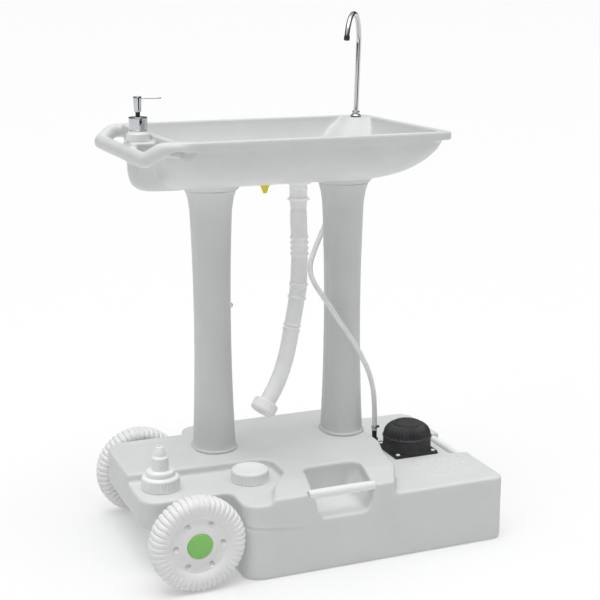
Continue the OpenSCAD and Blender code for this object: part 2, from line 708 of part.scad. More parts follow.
module soap_head() {
    color(steel_col) at(soap, collar_z + 34) difference() {
        union() {
            cylinder(h = 27, r1 = 6.6, r2 = 7.6, $fn = 48);
            translate([0, 0, 24]) rotate([0, 90, -10]) cylinder(h = 42, r = 1.8, $fn = 32);
        }
        translate([0, 0, -1]) cylinder(h = 11, r = 4.35, $fn = 36);
    }
}
module soap_spring() {
    color(steel_col) at(soap) swept(helix(5.4, collar_z - 46, collar_z - 22.8, 6, 72), 0.5, 5);
}
module soap_barrel() {
    // pump barrel hanging in the bottle's neck
    color(clear_col) at(soap, collar_z - 48) difference() {
        cylinder(h = 46, r = 9, $fn = 48);
        translate([0, 0, 1.5]) cylinder(h = 60, r = 7.6, $fn = 48);
        translate([0, 0, -1]) cylinder(h = 10, r = 1.5, $fn = 24);
    }
}
module soap_dip_tube() {
    color(clear_col) at(soap, bottle_z + 5) ring(2.5, 1.5, collar_z - 48.1 - bottle_z - 5, 32);
}

// ---- drain ----
module drain_strainer() {
    color(steel_col) at(drain) difference() {
        union() {
            translate([0, 0, bowl_z + 0.2]) cylinder(h = 2.4, r1 = 33, r2 = 30, $fn = 72);
            translate([0, 0, 700]) cylinder(h = bowl_z - 699, r = drain_r - 0.4, $fn = 72);
        }
        translate([0, 0, 699]) cylinder(h = bowl_z - 701, r = drain_r - 3, $fn = 72);
        for (n = [0:2], k = [0:max(1, 6 * n) - 1]) rotate([0, 0, 60 * k / max(1, n)])
            translate([5.2 * n, 0, 700]) cylinder(h = 40, r = 1.8, $fn = 24);
    }
}
module drain_washer() color(black_col) at(drain, floor_z - 2.2) ring(23, drain_r + 0.2, 2);
module drain_nut() {
    color(clear_col) at(drain, 701) difference() {
        union() {
            cylinder(h = 8.6, r = 24.3, $fn = 72);
            ribs(24, 8.6, 12, 1.2);
        }
        translate([0, 0, -1]) cylinder(h = 20, r = drain_r + 0.1, $fn = 72);
    }
}
module drain_tailpiece() {
    color(clear_col) at(drain, 670) difference() {
        union() {
            cylinder(h = 29.8, r = drain_r, $fn = 72);
            cylinder(h = 3, r = 21.5, $fn = 72);
            translate([0, 0, -4]) cylinder(h = 5, r = drain_r, $fn = 72);
        }
        translate([0, 0, -5]) cylinder(h = 50, r = drain_r - 3, $fn = 72);
    }
}
module drain_hose() color(clear_col) swept(drain_route, drain_hose_r, 12);
hose_dir = unit(last(drain_route) - drain_route[len(drain_route) - 2]);
module on_hose_end() {
    translate(last(drain_route)) rotate([0, acos(hose_dir[2]), atan2(hose_dir[1], hose_dir[0])])
        children();
}
module drain_end_nut() {
    color(clear_col) on_hose_end() difference() {
        union() {
            translate([0, 0, 0.2]) cylinder(h = 6, r1 = 20, r2 = 25, $fn = 72);
            translate([0, 0, 6.2]) cylinder(h = 12, r = 25, $fn = 72);
            translate([0, 0, 18.2]) cylinder(h = 5, r1 = 25, r2 = 20, $fn = 72);
        }
        translate([0, 0, 8]) cylinder(h = 20, r = 15, $fn = 72);
        translate([0, 0, -1]) cylinder(h = 20, r = 12, $fn = 48);
    }
}
module drain_end_insert() {
    color(clear_col) on_hose_end() translate([0, 0, 8.2]) ring(14.7, 9, 9, 48);
}
module drain_bung() {
    color(yellow_col) at(bung) {
        translate([0, 0, floor_z - 6.3]) cylinder(h = 6, r = 12, $fn = 48);
        translate([0, 0, floor_z - 0.5]) cylinder(h = 5, r = 7, $fn = 48);
        translate([0, 0, floor_z - 24]) cylinder(h = 18, r1 = 4.5, r2 = 8, $fn = 48);
    }
}

tank();
column_left();
column_right();
basin();
filler_cap();
filler_seal();
outlet_ring();
outlet_nozzle();
outlet_lock_disc();
outlet_seal();
front_handle_bar();
end_handle_bar();
axle();
wheel_front();
wheel_rear();
hub_cap_front();
hub_cap_rear();
axle_spacers();
axle_push_nuts();
pump_base_plate();
pump_gasket();
pump_screws();
pump_bulb();
pump_tread_cap();
pump_spring();
pump_inlet_valve();
pump_outlet_valve();
pump_outlet_elbow();
suction_tube();
suction_strainer();
supply_hose();
hose_clip_lower();
hose_clip_upper();
faucet_spout();
faucet_outlet_ring();
faucet_base();
faucet_washer();
faucet_nut();
faucet_tail();
soap_bottle();
soap_collar();
soap_plunger();
soap_head();
soap_spring();
soap_barrel();
soap_dip_tube();
drain_strainer();
drain_washer();
drain_nut();
drain_tailpiece();
drain_hose();
drain_end_nut();
drain_end_insert();
drain_bung();
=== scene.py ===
import math

import bpy
import bmesh
import numpy as np
from mathutils import Matrix, Vector
from mathutils.bvhtree import BVHTree


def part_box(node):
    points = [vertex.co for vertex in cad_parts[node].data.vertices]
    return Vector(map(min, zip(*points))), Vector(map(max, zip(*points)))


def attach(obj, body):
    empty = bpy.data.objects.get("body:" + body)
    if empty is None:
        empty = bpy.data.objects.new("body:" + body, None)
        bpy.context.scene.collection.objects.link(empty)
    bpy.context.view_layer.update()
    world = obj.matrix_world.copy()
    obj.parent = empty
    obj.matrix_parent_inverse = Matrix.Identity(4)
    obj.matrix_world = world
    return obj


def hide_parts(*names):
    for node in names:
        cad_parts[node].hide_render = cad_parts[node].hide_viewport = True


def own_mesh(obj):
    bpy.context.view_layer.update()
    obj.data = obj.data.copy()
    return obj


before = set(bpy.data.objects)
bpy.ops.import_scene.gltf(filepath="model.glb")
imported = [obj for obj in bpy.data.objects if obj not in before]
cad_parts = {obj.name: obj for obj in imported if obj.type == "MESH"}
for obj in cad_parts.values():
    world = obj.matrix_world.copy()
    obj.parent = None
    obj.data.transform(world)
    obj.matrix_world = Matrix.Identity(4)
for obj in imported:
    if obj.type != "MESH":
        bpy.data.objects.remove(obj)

MM = 0.001
TAU = math.tau
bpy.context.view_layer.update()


def box_mm(node):
    """Lowest corner, highest corner and centre of a CAD node, in millimetres."""
    low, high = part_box(node)
    low, high = np.array(low) / MM, np.array(high) / MM
    return low, high, (low + high) / 2


# ---- camera ----
camera_data = bpy.data.cameras.new("camera")
camera_data.sensor_width = 36.0
camera_data.lens = 76.0
camera_data.clip_start = 0.05
camera_data.clip_end = 2000.0
camera = bpy.data.objects.new("camera", camera_data)
bpy.context.scene.collection.objects.link(camera)
camera.location = (-0.9025, -2.2353, 1.0484)
camera.rotation_euler = (math.radians(90 - 13.4534), 0, math.radians(-22.1254))
bpy.context.scene.camera = camera


# ---- materials ----
def new_material(name):
    material = bpy.data.materials.new(name)
    material.use_nodes = True
    nodes = material.node_tree.nodes
    nodes.clear()
    output = nodes.new("ShaderNodeOutputMaterial")
    shader = nodes.new("ShaderNodeBsdfPrincipled")
    material.node_tree.links.new(shader.outputs["BSDF"], output.inputs["Surface"])
    return material, nodes, material.node_tree.links, shader


def noise(nodes, links, coords, scale, detail=3.0, roughness=0.55, distortion=0.0):
    node = nodes.new("ShaderNodeTexNoise")
    node.inputs["Scale"].default_value = scale
    node.inputs["Detail"].default_value = detail
    node.inputs["Roughness"].default_value = roughness
    node.inputs["Distortion"].default_value = distortion
    links.new(coords.outputs["Object"], node.inputs["Vector"])
    return node


def spread(nodes, links, source, low, high, in_low=0.3, in_high=0.7):
    """Maps a texture's middle range to low..high."""
    node = nodes.new("ShaderNodeMapRange")
    node.inputs["From Min"].default_value = in_low
    node.inputs["From Max"].default_value = in_high
    node.inputs["To Min"].default_value = low
    node.inputs["To Max"].default_value = high
    links.new(source, node.inputs["Value"])
    return node


def bumps(nodes, links, shader, layers):
    """Chains bump layers (height socket, strength, distance in metres) onto the shader."""
    last = None
    for height, strength, distance in layers:
        node = nodes.new("ShaderNodeBump")
        node.inputs["Strength"].default_value = strength
        node.inputs["Distance"].default_value = distance
        links.new(height, node.inputs["Height"])
        if last is not None:
            links.new(last.outputs["Normal"], node.inputs["Normal"])
        last = node
    links.new(last.outputs["Normal"], shader.inputs["Normal"])


def tinted(nodes, links, shader, base, dark, light, fac):
    """Base colour varied between a darker and a lighter tint."""
    mix = nodes.new("ShaderNodeMix")
    mix.data_type = "RGBA"
    mix.inputs["A"].default_value = (*[c * dark for c in base], 1)
    mix.inputs["B"].default_value = (*[min(1.0, c * light) for c in base], 1)
    links.new(fac, mix.inputs["Factor"])
    links.new(mix.outputs["Result"], shader.inputs["Base Color"])
    return mix


def plastic(name, base, rough=0.45, grain=900.0, grain_depth=0.00006, sink=45.0,
            sink_depth=0.0006, vary=(0.965, 1.02), subsurface=0.0, specular=0.42, coat=0.0):
    """Moulded plastic: fine mould grain, slow sink marks, cloudy tint and patchy gloss."""
    material, nodes, links, shader = new_material(name)
    coords = nodes.new("ShaderNodeTexCoord")
    cloud = noise(nodes, links, coords, 14.0, 4.0, 0.6)
    patches = noise(nodes, links, coords, 70.0, 5.0, 0.6, 0.4)
    fine = noise(nodes, links, coords, grain, 2.0, 0.5)
    slow = noise(nodes, links, coords, sink, 2.0, 0.4)
    specks = nodes.new("ShaderNodeTexVoronoi")
    specks.inputs["Scale"].default_value = 260.0
    links.new(coords.outputs["Object"], specks.inputs["Vector"])
    speck = spread(nodes, links, specks.outputs["Distance"], 0.94, 1.0, 0.03, 0.1)
    mix = tinted(nodes, links, shader, base, vary[0], vary[1],
                 spread(nodes, links, cloud.outputs["Fac"], 0, 1).outputs["Result"])
    dots = nodes.new("ShaderNodeMix")
    dots.data_type = "RGBA"
    dots.blend_type = "MULTIPLY"
    dots.inputs["Factor"].default_value = 0.5
    links.new(mix.outputs["Result"], dots.inputs["A"])
    links.new(speck.outputs["Result"], dots.inputs["B"])
    links.new(dots.outputs["Result"], shader.inputs["Base Color"])
    gloss = spread(nodes, links, patches.outputs["Fac"], rough - 0.05, rough + 0.07)
    links.new(gloss.outputs["Result"], shader.inputs["Roughness"])
    shader.inputs["Specular IOR Level"].default_value = specular
    shader.inputs["IOR"].default_value = 1.5
    if subsurface:
        shader.inputs["Subsurface Weight"].default_value = subsurface
        shader.inputs["Subsurface Radius"].default_value = (1.0, 0.95, 0.9)
        shader.inputs["Subsurface Scale"].default_value = 0.003
    if coat:
        shader.inputs["Coat Weight"].default_value = coat
        shader.inputs["Coat Roughness"].default_value = 0.12
    bumps(nodes, links, shader, [(slow.outputs["Fac"], 0.35, sink_depth),
                                 (fine.outputs["Fac"], 0.5, grain_depth)])
    return material


def rubber(name, base, rough=0.6):
    """Black moulded rubber with a dusty bloom and a pebbled grain."""
    material, nodes, links, shader = new_material(name)
    coords = nodes.new("ShaderNodeTexCoord")
    dust = noise(nodes, links, coords, 60.0, 6.0, 0.65)
    fine = noise(nodes, links, coords, 1400.0, 2.0)
    pebble = nodes.new("ShaderNodeTexVoronoi")
    pebble.feature = "F1"
    pebble.inputs["Scale"].default_value = 700.0
    links.new(coords.outputs["Object"], pebble.inputs["Vector"])
    tinted(nodes, links, shader, base, 0.75, 1.9,
           spread(nodes, links, dust.outputs["Fac"], 0, 1).outputs["Result"])
    gloss = spread(nodes, links, dust.outputs["Fac"], rough - 0.12, rough + 0.1)
    links.new(gloss.outputs["Result"], shader.inputs["Roughness"])
    shader.inputs["Specular IOR Level"].default_value = 0.45
    bumps(nodes, links, shader, [(pebble.outputs["Distance"], 0.35, 0.00012),
                                 (fine.outputs["Fac"], 0.4, 0.00005)])
    return material


def metal(name, base, rough, scratch=0.25):
    """Plated or drawn metal with fine scratches and smudged gloss."""
    material, nodes, links, shader = new_material(name)
    coords = nodes.new("ShaderNodeTexCoord")
    stretch = nodes.new("ShaderNodeMapping")
    stretch.inputs["Scale"].default_value = (1.0, 1.0, 0.06)
    links.new(coords.outputs["Object"], stretch.inputs["Vector"])
    lines = nodes.new("ShaderNodeTexNoise")
    lines.inputs["Scale"].default_value = 2200.0
    lines.inputs["Detail"].default_value = 2.0
    links.new(stretch.outputs["Vector"], lines.inputs["Vector"])
    smudge = noise(nodes, links, coords, 90.0, 5.0, 0.6, 0.6)
    tinted(nodes, links, shader, base, 0.94, 1.03,
           spread(nodes, links, smudge.outputs["Fac"], 0, 1).outputs["Result"])
    gloss = spread(nodes, links, smudge.outputs["Fac"], rough * 0.7, rough * 1.5)
    links.new(gloss.outputs["Result"], shader.inputs["Roughness"])
    shader.inputs["Metallic"].default_value = 1.0
    bumps(nodes, links, shader, [(lines.outputs["Fac"], scratch, 0.00001)])
    return material


def clear_tube(name, base, transmission, rough):
    """Milky flexible tubing: part clear, with soft haze streaks along it."""
    material, nodes, links, shader = new_material(name)
    coords = nodes.new("ShaderNodeTexCoord")
    haze = noise(nodes, links, coords, 120.0, 4.0, 0.6)
    fine = noise(nodes, links, coords, 800.0, 2.0)
    tinted(nodes, links, shader, base, 0.93, 1.02,
           spread(nodes, links, haze.outputs["Fac"], 0, 1).outputs["Result"])
    gloss = spread(nodes, links, haze.outputs["Fac"], rough, rough + 0.12)
    links.new(gloss.outputs["Result"], shader.inputs["Roughness"])
    shader.inputs["Transmission Weight"].default_value = transmission
    shader.inputs["IOR"].default_value = 1.42
    bumps(nodes, links, shader, [(fine.outputs["Fac"], 0.3, 0.00004)])
    return material


body_mat = plastic("body_moulded", (0.665, 0.682, 0.676), rough=0.46)
white_mat = plastic("white_moulded", (0.84, 0.845, 0.84), rough=0.40, grain=1200.0,
                    sink_depth=0.0003)
wheel_mat = plastic("wheel_moulded", (0.80, 0.804, 0.80), rough=0.48, grain=700.0)
green_mat = plastic("green_cap", (0.235, 0.56, 0.135), rough=0.38, grain=1000.0,
                    sink_depth=0.0002, vary=(0.92, 1.05))
yellow_mat = plastic("yellow_bung", (0.72, 0.60, 0.02), rough=0.42, grain=1000.0,
                     sink_depth=0.0002, vary=(0.92, 1.05))
black_mat = plastic("black_moulded", (0.022, 0.022, 0.024), rough=0.5, grain=900.0,
                    vary=(0.8, 1.3))
rubber_mat = rubber("pump_rubber_skin", (0.024, 0.024, 0.026), 0.58)
seal_mat = rubber("seal_rubber_skin", (0.02, 0.02, 0.021), 0.66)
chrome_mat = metal("chrome_plate", (0.57, 0.58, 0.60), 0.07, 0.12)
steel_mat = metal("drawn_steel", (0.56, 0.57, 0.58), 0.26, 0.4)
clear_mat = clear_tube("clear_plastic_wall", (0.88, 0.90, 0.89), 0.75, 0.14)
hose_mat = plastic("milky_hose", (0.86, 0.875, 0.87), rough=0.24, grain=1500.0,
                   grain_depth=0.00003, sink_depth=0.0002, subsurface=0.35, coat=0.35)
drain_mat = plastic("drain_milky", (0.84, 0.845, 0.84), rough=0.34, grain=1100.0,
                    sink_depth=0.0003, subsurface=0.4)
MATERIALS = {
    "body_plastic": body_mat, "white_plastic": white_mat, "wheel_plastic": wheel_mat,
    "green_plastic": green_mat, "yellow_plastic": yellow_mat, "black_plastic": black_mat,
    "black_rubber": seal_mat, "pump_rubber": rubber_mat, "chrome": chrome_mat,
    "steel": steel_mat, "clear_plastic": clear_mat, "supply_hose_plastic": hose_mat,
    "drain_plastic": drain_mat,
}


# ---- mesh tools (all in millimetres until the mesh is made) ----
def make_mesh(name, points, faces, smooth=True):
    mesh = bpy.data.meshes.new(name)
    mesh.from_pydata((np.asarray(points, float) * MM).tolist(), [], faces)
    bm = bmesh.new()
    bm.from_mesh(mesh)
    bmesh.ops.recalc_face_normals(bm, faces=bm.faces)
    bm.to_mesh(mesh)
    bm.free()
    for polygon in mesh.polygons:
        polygon.use_smooth = smooth
    return mesh


def place(name, mesh, body, slot_name, nodes=(), sharp=38.0):
    """Makes the piece, gives it its finish and body, and hides the CAD nodes it stands for."""
    obj = bpy.data.objects.new(name, mesh)
    bpy.context.scene.collection.objects.link(obj)
    mesh.materials.clear()
    mesh.materials.append(MATERIALS[slot_name])
    if sharp:
        mesh.set_sharp_from_angle(angle=math.radians(sharp))
    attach(obj, body)
    if nodes:
        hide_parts(*nodes)
    return obj


def place_moved(name, verts, faces, where, body, slot_name, nodes, sharp=38.0):
    """place() for a piece that is made at the origin and moved to where it belongs."""
    return place(name, make_mesh(name, moved(verts, where), faces), body, slot_name, nodes, sharp)


def rounded(corners, steps=6):
    """Points of a closed outline whose corners (x, y, radius) are rounded by arcs."""
    out = []
    count = len(corners)
    for i, (x, y, radius) in enumerate(corners):
        if radius <= 0:
            out.append((x, y))
            continue
        b = np.array([x, y], float)
        a = np.array(corners[i - 1][:2], float)
        c = np.array(corners[(i + 1) % count][:2], float)
        u, v = (a - b) / np.linalg.norm(a - b), (c - b) / np.linalg.norm(c - b)
        half = math.acos(max(-1.0, min(1.0, float(u @ v)))) / 2
        w = (u + v) / np.linalg.norm(u + v)
        centre = b + w * radius / math.sin(half)
        start = b + u * radius / math.tan(half) - centre
        end = b + v * radius / math.tan(half) - centre
        turn = math.atan2(start[0] * end[1] - start[1] * end[0], float(start @ end))
        for k in range(steps + 1):
            t = turn * k / steps
            out.append((centre[0] + start[0] * math.cos(t) - start[1] * math.sin(t),
                        centre[1] + start[0] * math.sin(t) + start[1] * math.cos(t)))
    return np.array(out)


def resampled(line, step, closed=False):
    """A polyline with extra points, none further apart than step."""
    out = []
    count = len(line)
    for i in range(count if closed else count - 1):
        a, b = np.asarray(line[i], float), np.asarray(line[(i + 1) % count], float)
        n = max(1, int(math.ceil(np.linalg.norm(b - a) / step)))
        out += [a + (b - a) * k / n for k in range(n)]
    if not closed:
        out.append(np.asarray(line[-1], float))
    return np.array(out)


def skin(points, closed_u=False, start_pole=None, end_pole=None):
    """Faces over rows of points (rows, around, 3), each row a closed loop."""
    rows, around = points.shape[:2]
    verts = points.reshape(-1, 3).tolist()
    faces = []
    for i in range(rows if closed_u else rows - 1):
        a, b = i * around, ((i + 1) % rows) * around
        for j in range(around):
            k = (j + 1) % around
            faces.append((a + j, a + k, b + k, b + j))
    for pole, row in ((start_pole, 0), (end_pole, rows - 1)):
        if pole is not None:
            centre = len(verts)
            verts.append(list(pole))
            base = row * around
            for j in range(around):
                k = (j + 1) % around
                faces.append((centre, base + k, base + j))
    return verts, faces


def lathe(profile, around=96, ripple=None, step=None, closed=False):
    """Turns a profile of (radius, height) about Z. ripple(radius, height, angle) moves the radius.
    An open profile whose ends lie on the axis is closed there by a point."""
    line = np.asarray(profile, float)
    if step:
        line = resampled(line, step, closed)
    start_pole = end_pole = None
    if not closed:
        if line[0][0] < 1e-6:
            start_pole, line = (0, 0, line[0][1]), line[1:]
        if line[-1][0] < 1e-6:
            end_pole, line = (0, 0, line[-1][1]), line[:-1]
    angle = np.linspace(0, TAU, around, endpoint=False)
    radius = np.repeat(line[:, 0:1], around, axis=1)
    height = np.repeat(line[:, 1:2], around, axis=1)
    turn = np.repeat(angle[None, :], len(line), axis=0)
    if ripple:
        radius, height = ripple(radius, height, turn)
    points = np.stack([radius * np.cos(turn), radius * np.sin(turn), height], axis=2)
    return skin(points, closed, start_pole, end_pole)


def moved(verts, matrix):
    """Points carried by a 4x4 matrix in millimetres."""
    m = np.array(matrix, float)
    v = np.asarray(verts, float)
    return v @ m[:3, :3].T + m[:3, 3]


def joined(*parts):
    """Several (verts, faces) as one."""
    verts, faces = [], []
    for v, f in parts:
        base = len(verts)
        verts += [list(p) for p in v]
        faces += [tuple(base + i for i in face) for face in f]
    return verts, faces


def smooth_route(points, per_span=6):
    """A Catmull-Rom line through the points."""
    p = [np.asarray(q, float) for q in points]
    p = [2 * p[0] - p[1]] + p + [2 * p[-1] - p[-2]]
    out = []
    for i in range(1, len(p) - 2):
        for k in range(per_span):
            t = k / per_span
            out.append(0.5 * (2 * p[i] + (p[i + 1] - p[i - 1]) * t
                              + (2 * p[i - 1] - 5 * p[i] + 4 * p[i + 1] - p[i + 2]) * t * t
                              + (3 * p[i] - p[i - 1] - 3 * p[i + 1] + p[i + 2]) * t ** 3))
    out.append(p[-2])
    return np.array(out)


def smooth_outline(points, per_span):
    """smooth_route for (radius, height) pairs."""
    return smooth_route([(a, b, 0) for a, b in points], per_span)[:, :2]


def lengths(line):
    """Distance along a line at each of its points."""
    return np.concatenate([[0], np.cumsum(np.linalg.norm(np.diff(line, axis=0), axis=1))])


def carried_frames(line, closed=False):
    """A tangent and two normals at each point of a line, turning as little as they can."""
    if closed:
        tangent = np.roll(line, -1, axis=0) - np.roll(line, 1, axis=0)
    else:
        tangent = np.gradient(line, axis=0)
    tangent /= np.linalg.norm(tangent, axis=1)[:, None]
    seed = np.array([1.0, 0, 0]) if abs(tangent[0][0]) < 0.9 else np.array([0, 1.0, 0])
    side = []
    for t in tangent:
        seed = seed - t * (seed @ t)
        seed = seed / np.linalg.norm(seed)
        side.append(seed)
    side = np.array(side)
    return tangent, side, np.cross(tangent, side)


def tube(line, radius, around=24, inner=None, closed=False, caps=True):
    """A tube along a line. radius may differ along it; inner makes it hollow."""
    line = np.asarray(line, float)
    radius = np.broadcast_to(np.asarray(radius, float), (len(line),))
    _, n1, n2 = carried_frames(line, closed)
    angle = np.linspace(0, TAU, around, endpoint=False)

    def rings(r):
        return (line[:, None, :] + r[:, None, None]
                * (n1[:, None, :] * np.cos(angle)[None, :, None]
                   + n2[:, None, :] * np.sin(angle)[None, :, None]))
    outer = rings(radius)
    if inner is not None:
        wall = rings(np.broadcast_to(np.asarray(inner, float), (len(line),)))[::-1]
        return skin(np.concatenate([outer, wall]), closed_u=True)
    if closed:
        return skin(outer, closed_u=True)
    return skin(outer, False, line[0] if caps else None, line[-1] if caps else None)


def extruded(outline, z0, z1):
    """A prism over a convex or star-shaped outline."""
    outline = np.asarray(outline, float)
    low = np.column_stack([outline, np.full(len(outline), z0)])
    high = np.column_stack([outline, np.full(len(outline), z1)])
    centre = outline.mean(0)
    return skin(np.stack([low, high]), False, (*centre, z0), (*centre, z1))


def pillow(outline, z0, z1, edge, steps=4, inset_low=True):
    """A plate with rounded top and bottom edges over an outline about its centre."""
    outline = np.asarray(outline, float)
    centre = (outline.max(0) + outline.min(0)) / 2
    half = (outline.max(0) - outline.min(0)) / 2
    rows = []
    arcs = [math.pi / 2 * k / steps for k in range(steps + 1)]
    for t in (arcs if inset_low else [math.pi / 2]):
        rows.append((edge * (1 - math.sin(t)), z0 + edge * (1 - math.cos(t))))
    for t in arcs[::-1]:
        rows.append((edge * (1 - math.sin(t)), z1 - edge * (1 - math.cos(t))))
    points = []
    for inset, z in rows:
        shrink = (half - inset) / half
        ring = centre + (outline - centre) * shrink
        points.append(np.column_stack([ring, np.full(len(ring), z)]))
    return skin(np.array(points), False, (*centre, z0), (*centre, z1))


def slabs(rows, around=24, per_span=5):
    """A lofted solid through rounded rectangles (z, x0, x1, half width, corner radius)."""
    line = smooth_route(rows, per_span)
    points = []
    for z, x0, x1, half, r in line:
        r = min(r, half * 0.98, (x1 - x0) / 2 * 0.98)
        ring = rounded([(x0, -half, r), (x1, -half, r), (x1, half, r), (x0, half, r)], around)
        points.append(np.column_stack([ring, np.full(len(ring), z)]))
    points = np.array(points)
    return skin(points, False, points[0].mean(0), points[-1].mean(0))


def evaluated(obj):
    graph = bpy.context.evaluated_depsgraph_get()
    mesh = bpy.data.meshes.new_from_object(obj.evaluated_get(graph))
    old = obj.data
    bpy.data.objects.remove(obj)
    bpy.data.meshes.remove(old)
    return mesh


def scratch(mesh):
    obj = bpy.data.objects.new("scratch", mesh)
    bpy.context.scene.collection.objects.link(obj)
    return obj


def one_skin(mesh, voxel_mm):
    """Overlapping closed parts remeshed as a single outer skin."""
    obj = scratch(mesh)
    modifier = obj.modifiers.new("skin", "REMESH")
    modifier.mode = "VOXEL"
    modifier.voxel_size = voxel_mm * MM
    modifier.adaptivity = 0.0
    return evaluated(obj)


def carved(mesh, cutter):
    """mesh minus cutter, both closed."""
    a, b = scratch(mesh), scratch(cutter)
    modifier = a.modifiers.new("cut", "BOOLEAN")
    modifier.operation = "DIFFERENCE"
    modifier.solver = "MANIFOLD"
    modifier.object = b
    out = evaluated(a)
    bpy.data.objects.remove(b)
    return out


def cad_copy(node):
    """A welded copy of a CAD node's mesh as points in millimetres and faces."""
    bm = bmesh.new()
    bm.from_mesh(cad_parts[node].data)
    bmesh.ops.remove_doubles(bm, verts=bm.verts, dist=1e-6)
    bm.verts.ensure_lookup_table()
    verts = [tuple(c / MM for c in v.co) for v in bm.verts]
    faces = [tuple(v.index for v in f.verts) for f in bm.faces]
    bm.free()
    return verts, faces


def relax(mesh, rounds, weight_of):
    """Rounds the edges of an even mesh; weight_of(points in mm) is 0 where it stays as it is."""
    count = len(mesh.vertices)
    points = np.empty(count * 3)
    mesh.vertices.foreach_get("co", points)
    points = points.reshape(-1, 3) / MM
    edges = np.empty(len(mesh.edges) * 2, np.int32)
    mesh.edges.foreach_get("vertices", edges)
    a, b = edges[0::2], edges[1::2]
    valence = np.maximum(np.bincount(a, minlength=count) + np.bincount(b, minlength=count), 1)
    weight = 0.5 * np.clip(weight_of(points), 0, 1)
    for _ in range(rounds):
        for axis in range(3):
            value = points[:, axis]
            around = (np.bincount(a, value[b], count) + np.bincount(b, value[a], count)) / valence
            points[:, axis] = value + weight * (around - value)
    mesh.vertices.foreach_set("co", (points * MM).ravel())
    mesh.update()
    return points


def displaced(mesh, move):
    """Moves each vertex by move(points, normals) in millimetres along its normal."""
    count = len(mesh.vertices)
    points, normals = np.empty(count * 3), np.empty(count * 3)
    mesh.vertices.foreach_get("co", points)
    mesh.vertices.foreach_get("normal", normals)
    points, normals = points.reshape(-1, 3) / MM, normals.reshape(-1, 3)
    points = points + normals * move(points, normals)[:, None]
    mesh.vertices.foreach_set("co", (points * MM).ravel())
    mesh.update()


def smoothed_flags(mesh):
    mesh.polygons.foreach_set("use_smooth", [True] * len(mesh.polygons))
    mesh.update()


def step_between(x, low, high):
    t = np.clip((x - low) / (high - low), 0, 1)
    return t * t * (3 - 2 * t)


# ---- cords ----
supply_route = np.array([
    (192, 42, 165), (192, 42, 187), (191, 41, 209), (188, 37, 232), (183, 32, 258),
    (174, 27, 286), (163, 23, 312), (149, 20, 338), (133, 18, 365), (114, 17, 393),
    (96, 18, 420), (80, 22, 446), (66, 32, 470), (57, 46, 490), (55, 62, 507), (62, 80, 523),
    (76, 99, 540), (95, 120, 560), (115, 138, 583), (135, 150, 610), (155, 158, 640),
    (173, 161, 672), (187, 160, 706), (195, 159, 738), (195, 159, 768)], float)
drain_route = np.array([
    (3, 0, 666), (3, 0, 640), (4, 0, 610), (5, 0, 578), (5, 0, 550), (4, 0, 522), (2, -1, 496),
    (-3, -3, 470), (-9, -6, 444), (-16, -10, 417), (-24, -15, 388), (-34, -21, 358),
    (-47, -27, 330), (-62, -34, 306), (-79, -41, 285)], float)

supply_line = smooth_route(supply_route, 8)
supply_hose = place("supply_hose_tube",
                    make_mesh("supply_hose_tube", *tube(supply_line, 5.25, 28, inner=3.9)),
                    "root", "supply_hose_plastic", ["supply_hose"], sharp=60)

drain_line = resampled(smooth_route(drain_route, 8), 0.9)
drain_at = lengths(drain_line)


def swelling(at, centre, half, height, edge=0.9):
    """A raised band across the drain hose."""
    return height * (1 - step_between(np.abs(at - centre), half - edge / 2, half + edge / 2))


drain_radius = np.full(len(drain_at), 16.3)
drain_radius -= 1.2 * np.exp(-((drain_at - 13) / 4.0) ** 2)
for k in range(4):
    drain_radius += 2.2 * np.exp(-((drain_at - 69 - 11 * k) / 2.4) ** 2)
    drain_radius -= 0.9 * np.exp(-((drain_at - 74.5 - 11 * k) / 2.4) ** 2)
drain_radius += 0.4 * np.cos(TAU * drain_at / 5.2) * step_between(drain_at, 22, 28) \
    * (1 - step_between(drain_at, 52, 58))
drain_radius += swelling(drain_at, 162, 1.8, 2.4)
drain_radius += swelling(drain_at, 171, 1.1, 0.9)
drain_radius += swelling(drain_at, 188.5, 2.0, 2.2)
drain_radius -= swelling(drain_at, 193.5, 1.2, 1.0)
drain_radius -= 0.5 * step_between(drain_at, 194, 200)
drain_radius += swelling(drain_at, 243.5, 1.8, 1.9)
drain_radius -= swelling(drain_at, 247.5, 1.6, 1.2)
drain_radius += swelling(drain_at, 251.5, 1.8, 1.9)
drain_hose = place("drain_hose_tube",
                   make_mesh("drain_hose_tube",
                             *tube(drain_line, drain_radius, 56, inner=drain_radius - 2.2)),
                   "root", "drain_plastic", ["drain_hose"], sharp=70)

# the end fitting turns about the hose's last stretch
hose_end = drain_route[-1]
hose_way = (drain_route[-1] - drain_route[-2]) / np.linalg.norm(drain_route[-1] - drain_route[-2])
end_frame = Vector(hose_way).to_track_quat("Z", "Y").to_matrix().to_4x4()
end_frame.translation = Vector(hose_end)


# ---- end fitting of the drain hose ----
nut_low, nut_high, nut_mid = box_mm("drain_end_nut")
insert_low, insert_high, insert_mid = box_mm("drain_end_insert")


def along(point):
    return float((np.asarray(point) - hose_end) @ hose_way)


def node_along(node):
    """Where a node starts and ends along the hose's last stretch, and its radius there."""
    v = np.array(cad_copy(node)[0]) - hose_end
    t = v @ hose_way
    r = np.linalg.norm(v - t[:, None] * hose_way, axis=1)
    return t.min(), t.max(), r.max(), r.min()


nut_a, nut_b, nut_r, _ = node_along("drain_end_nut")
ins_a, ins_b, ins_r, _ = node_along("drain_end_insert")


def grip(count, depth, power=4.0):
    """Shallow grooves round a turned part, on its outermost wall."""
    def ripple(radius, height, turn):
        crease = np.abs(np.cos(count * turn / 2)) ** power
        outermost = step_between(radius, radius.max() - depth * 1.6, radius.max() - depth * 0.4)
        return radius - depth * crease * outermost, height
    return ripple


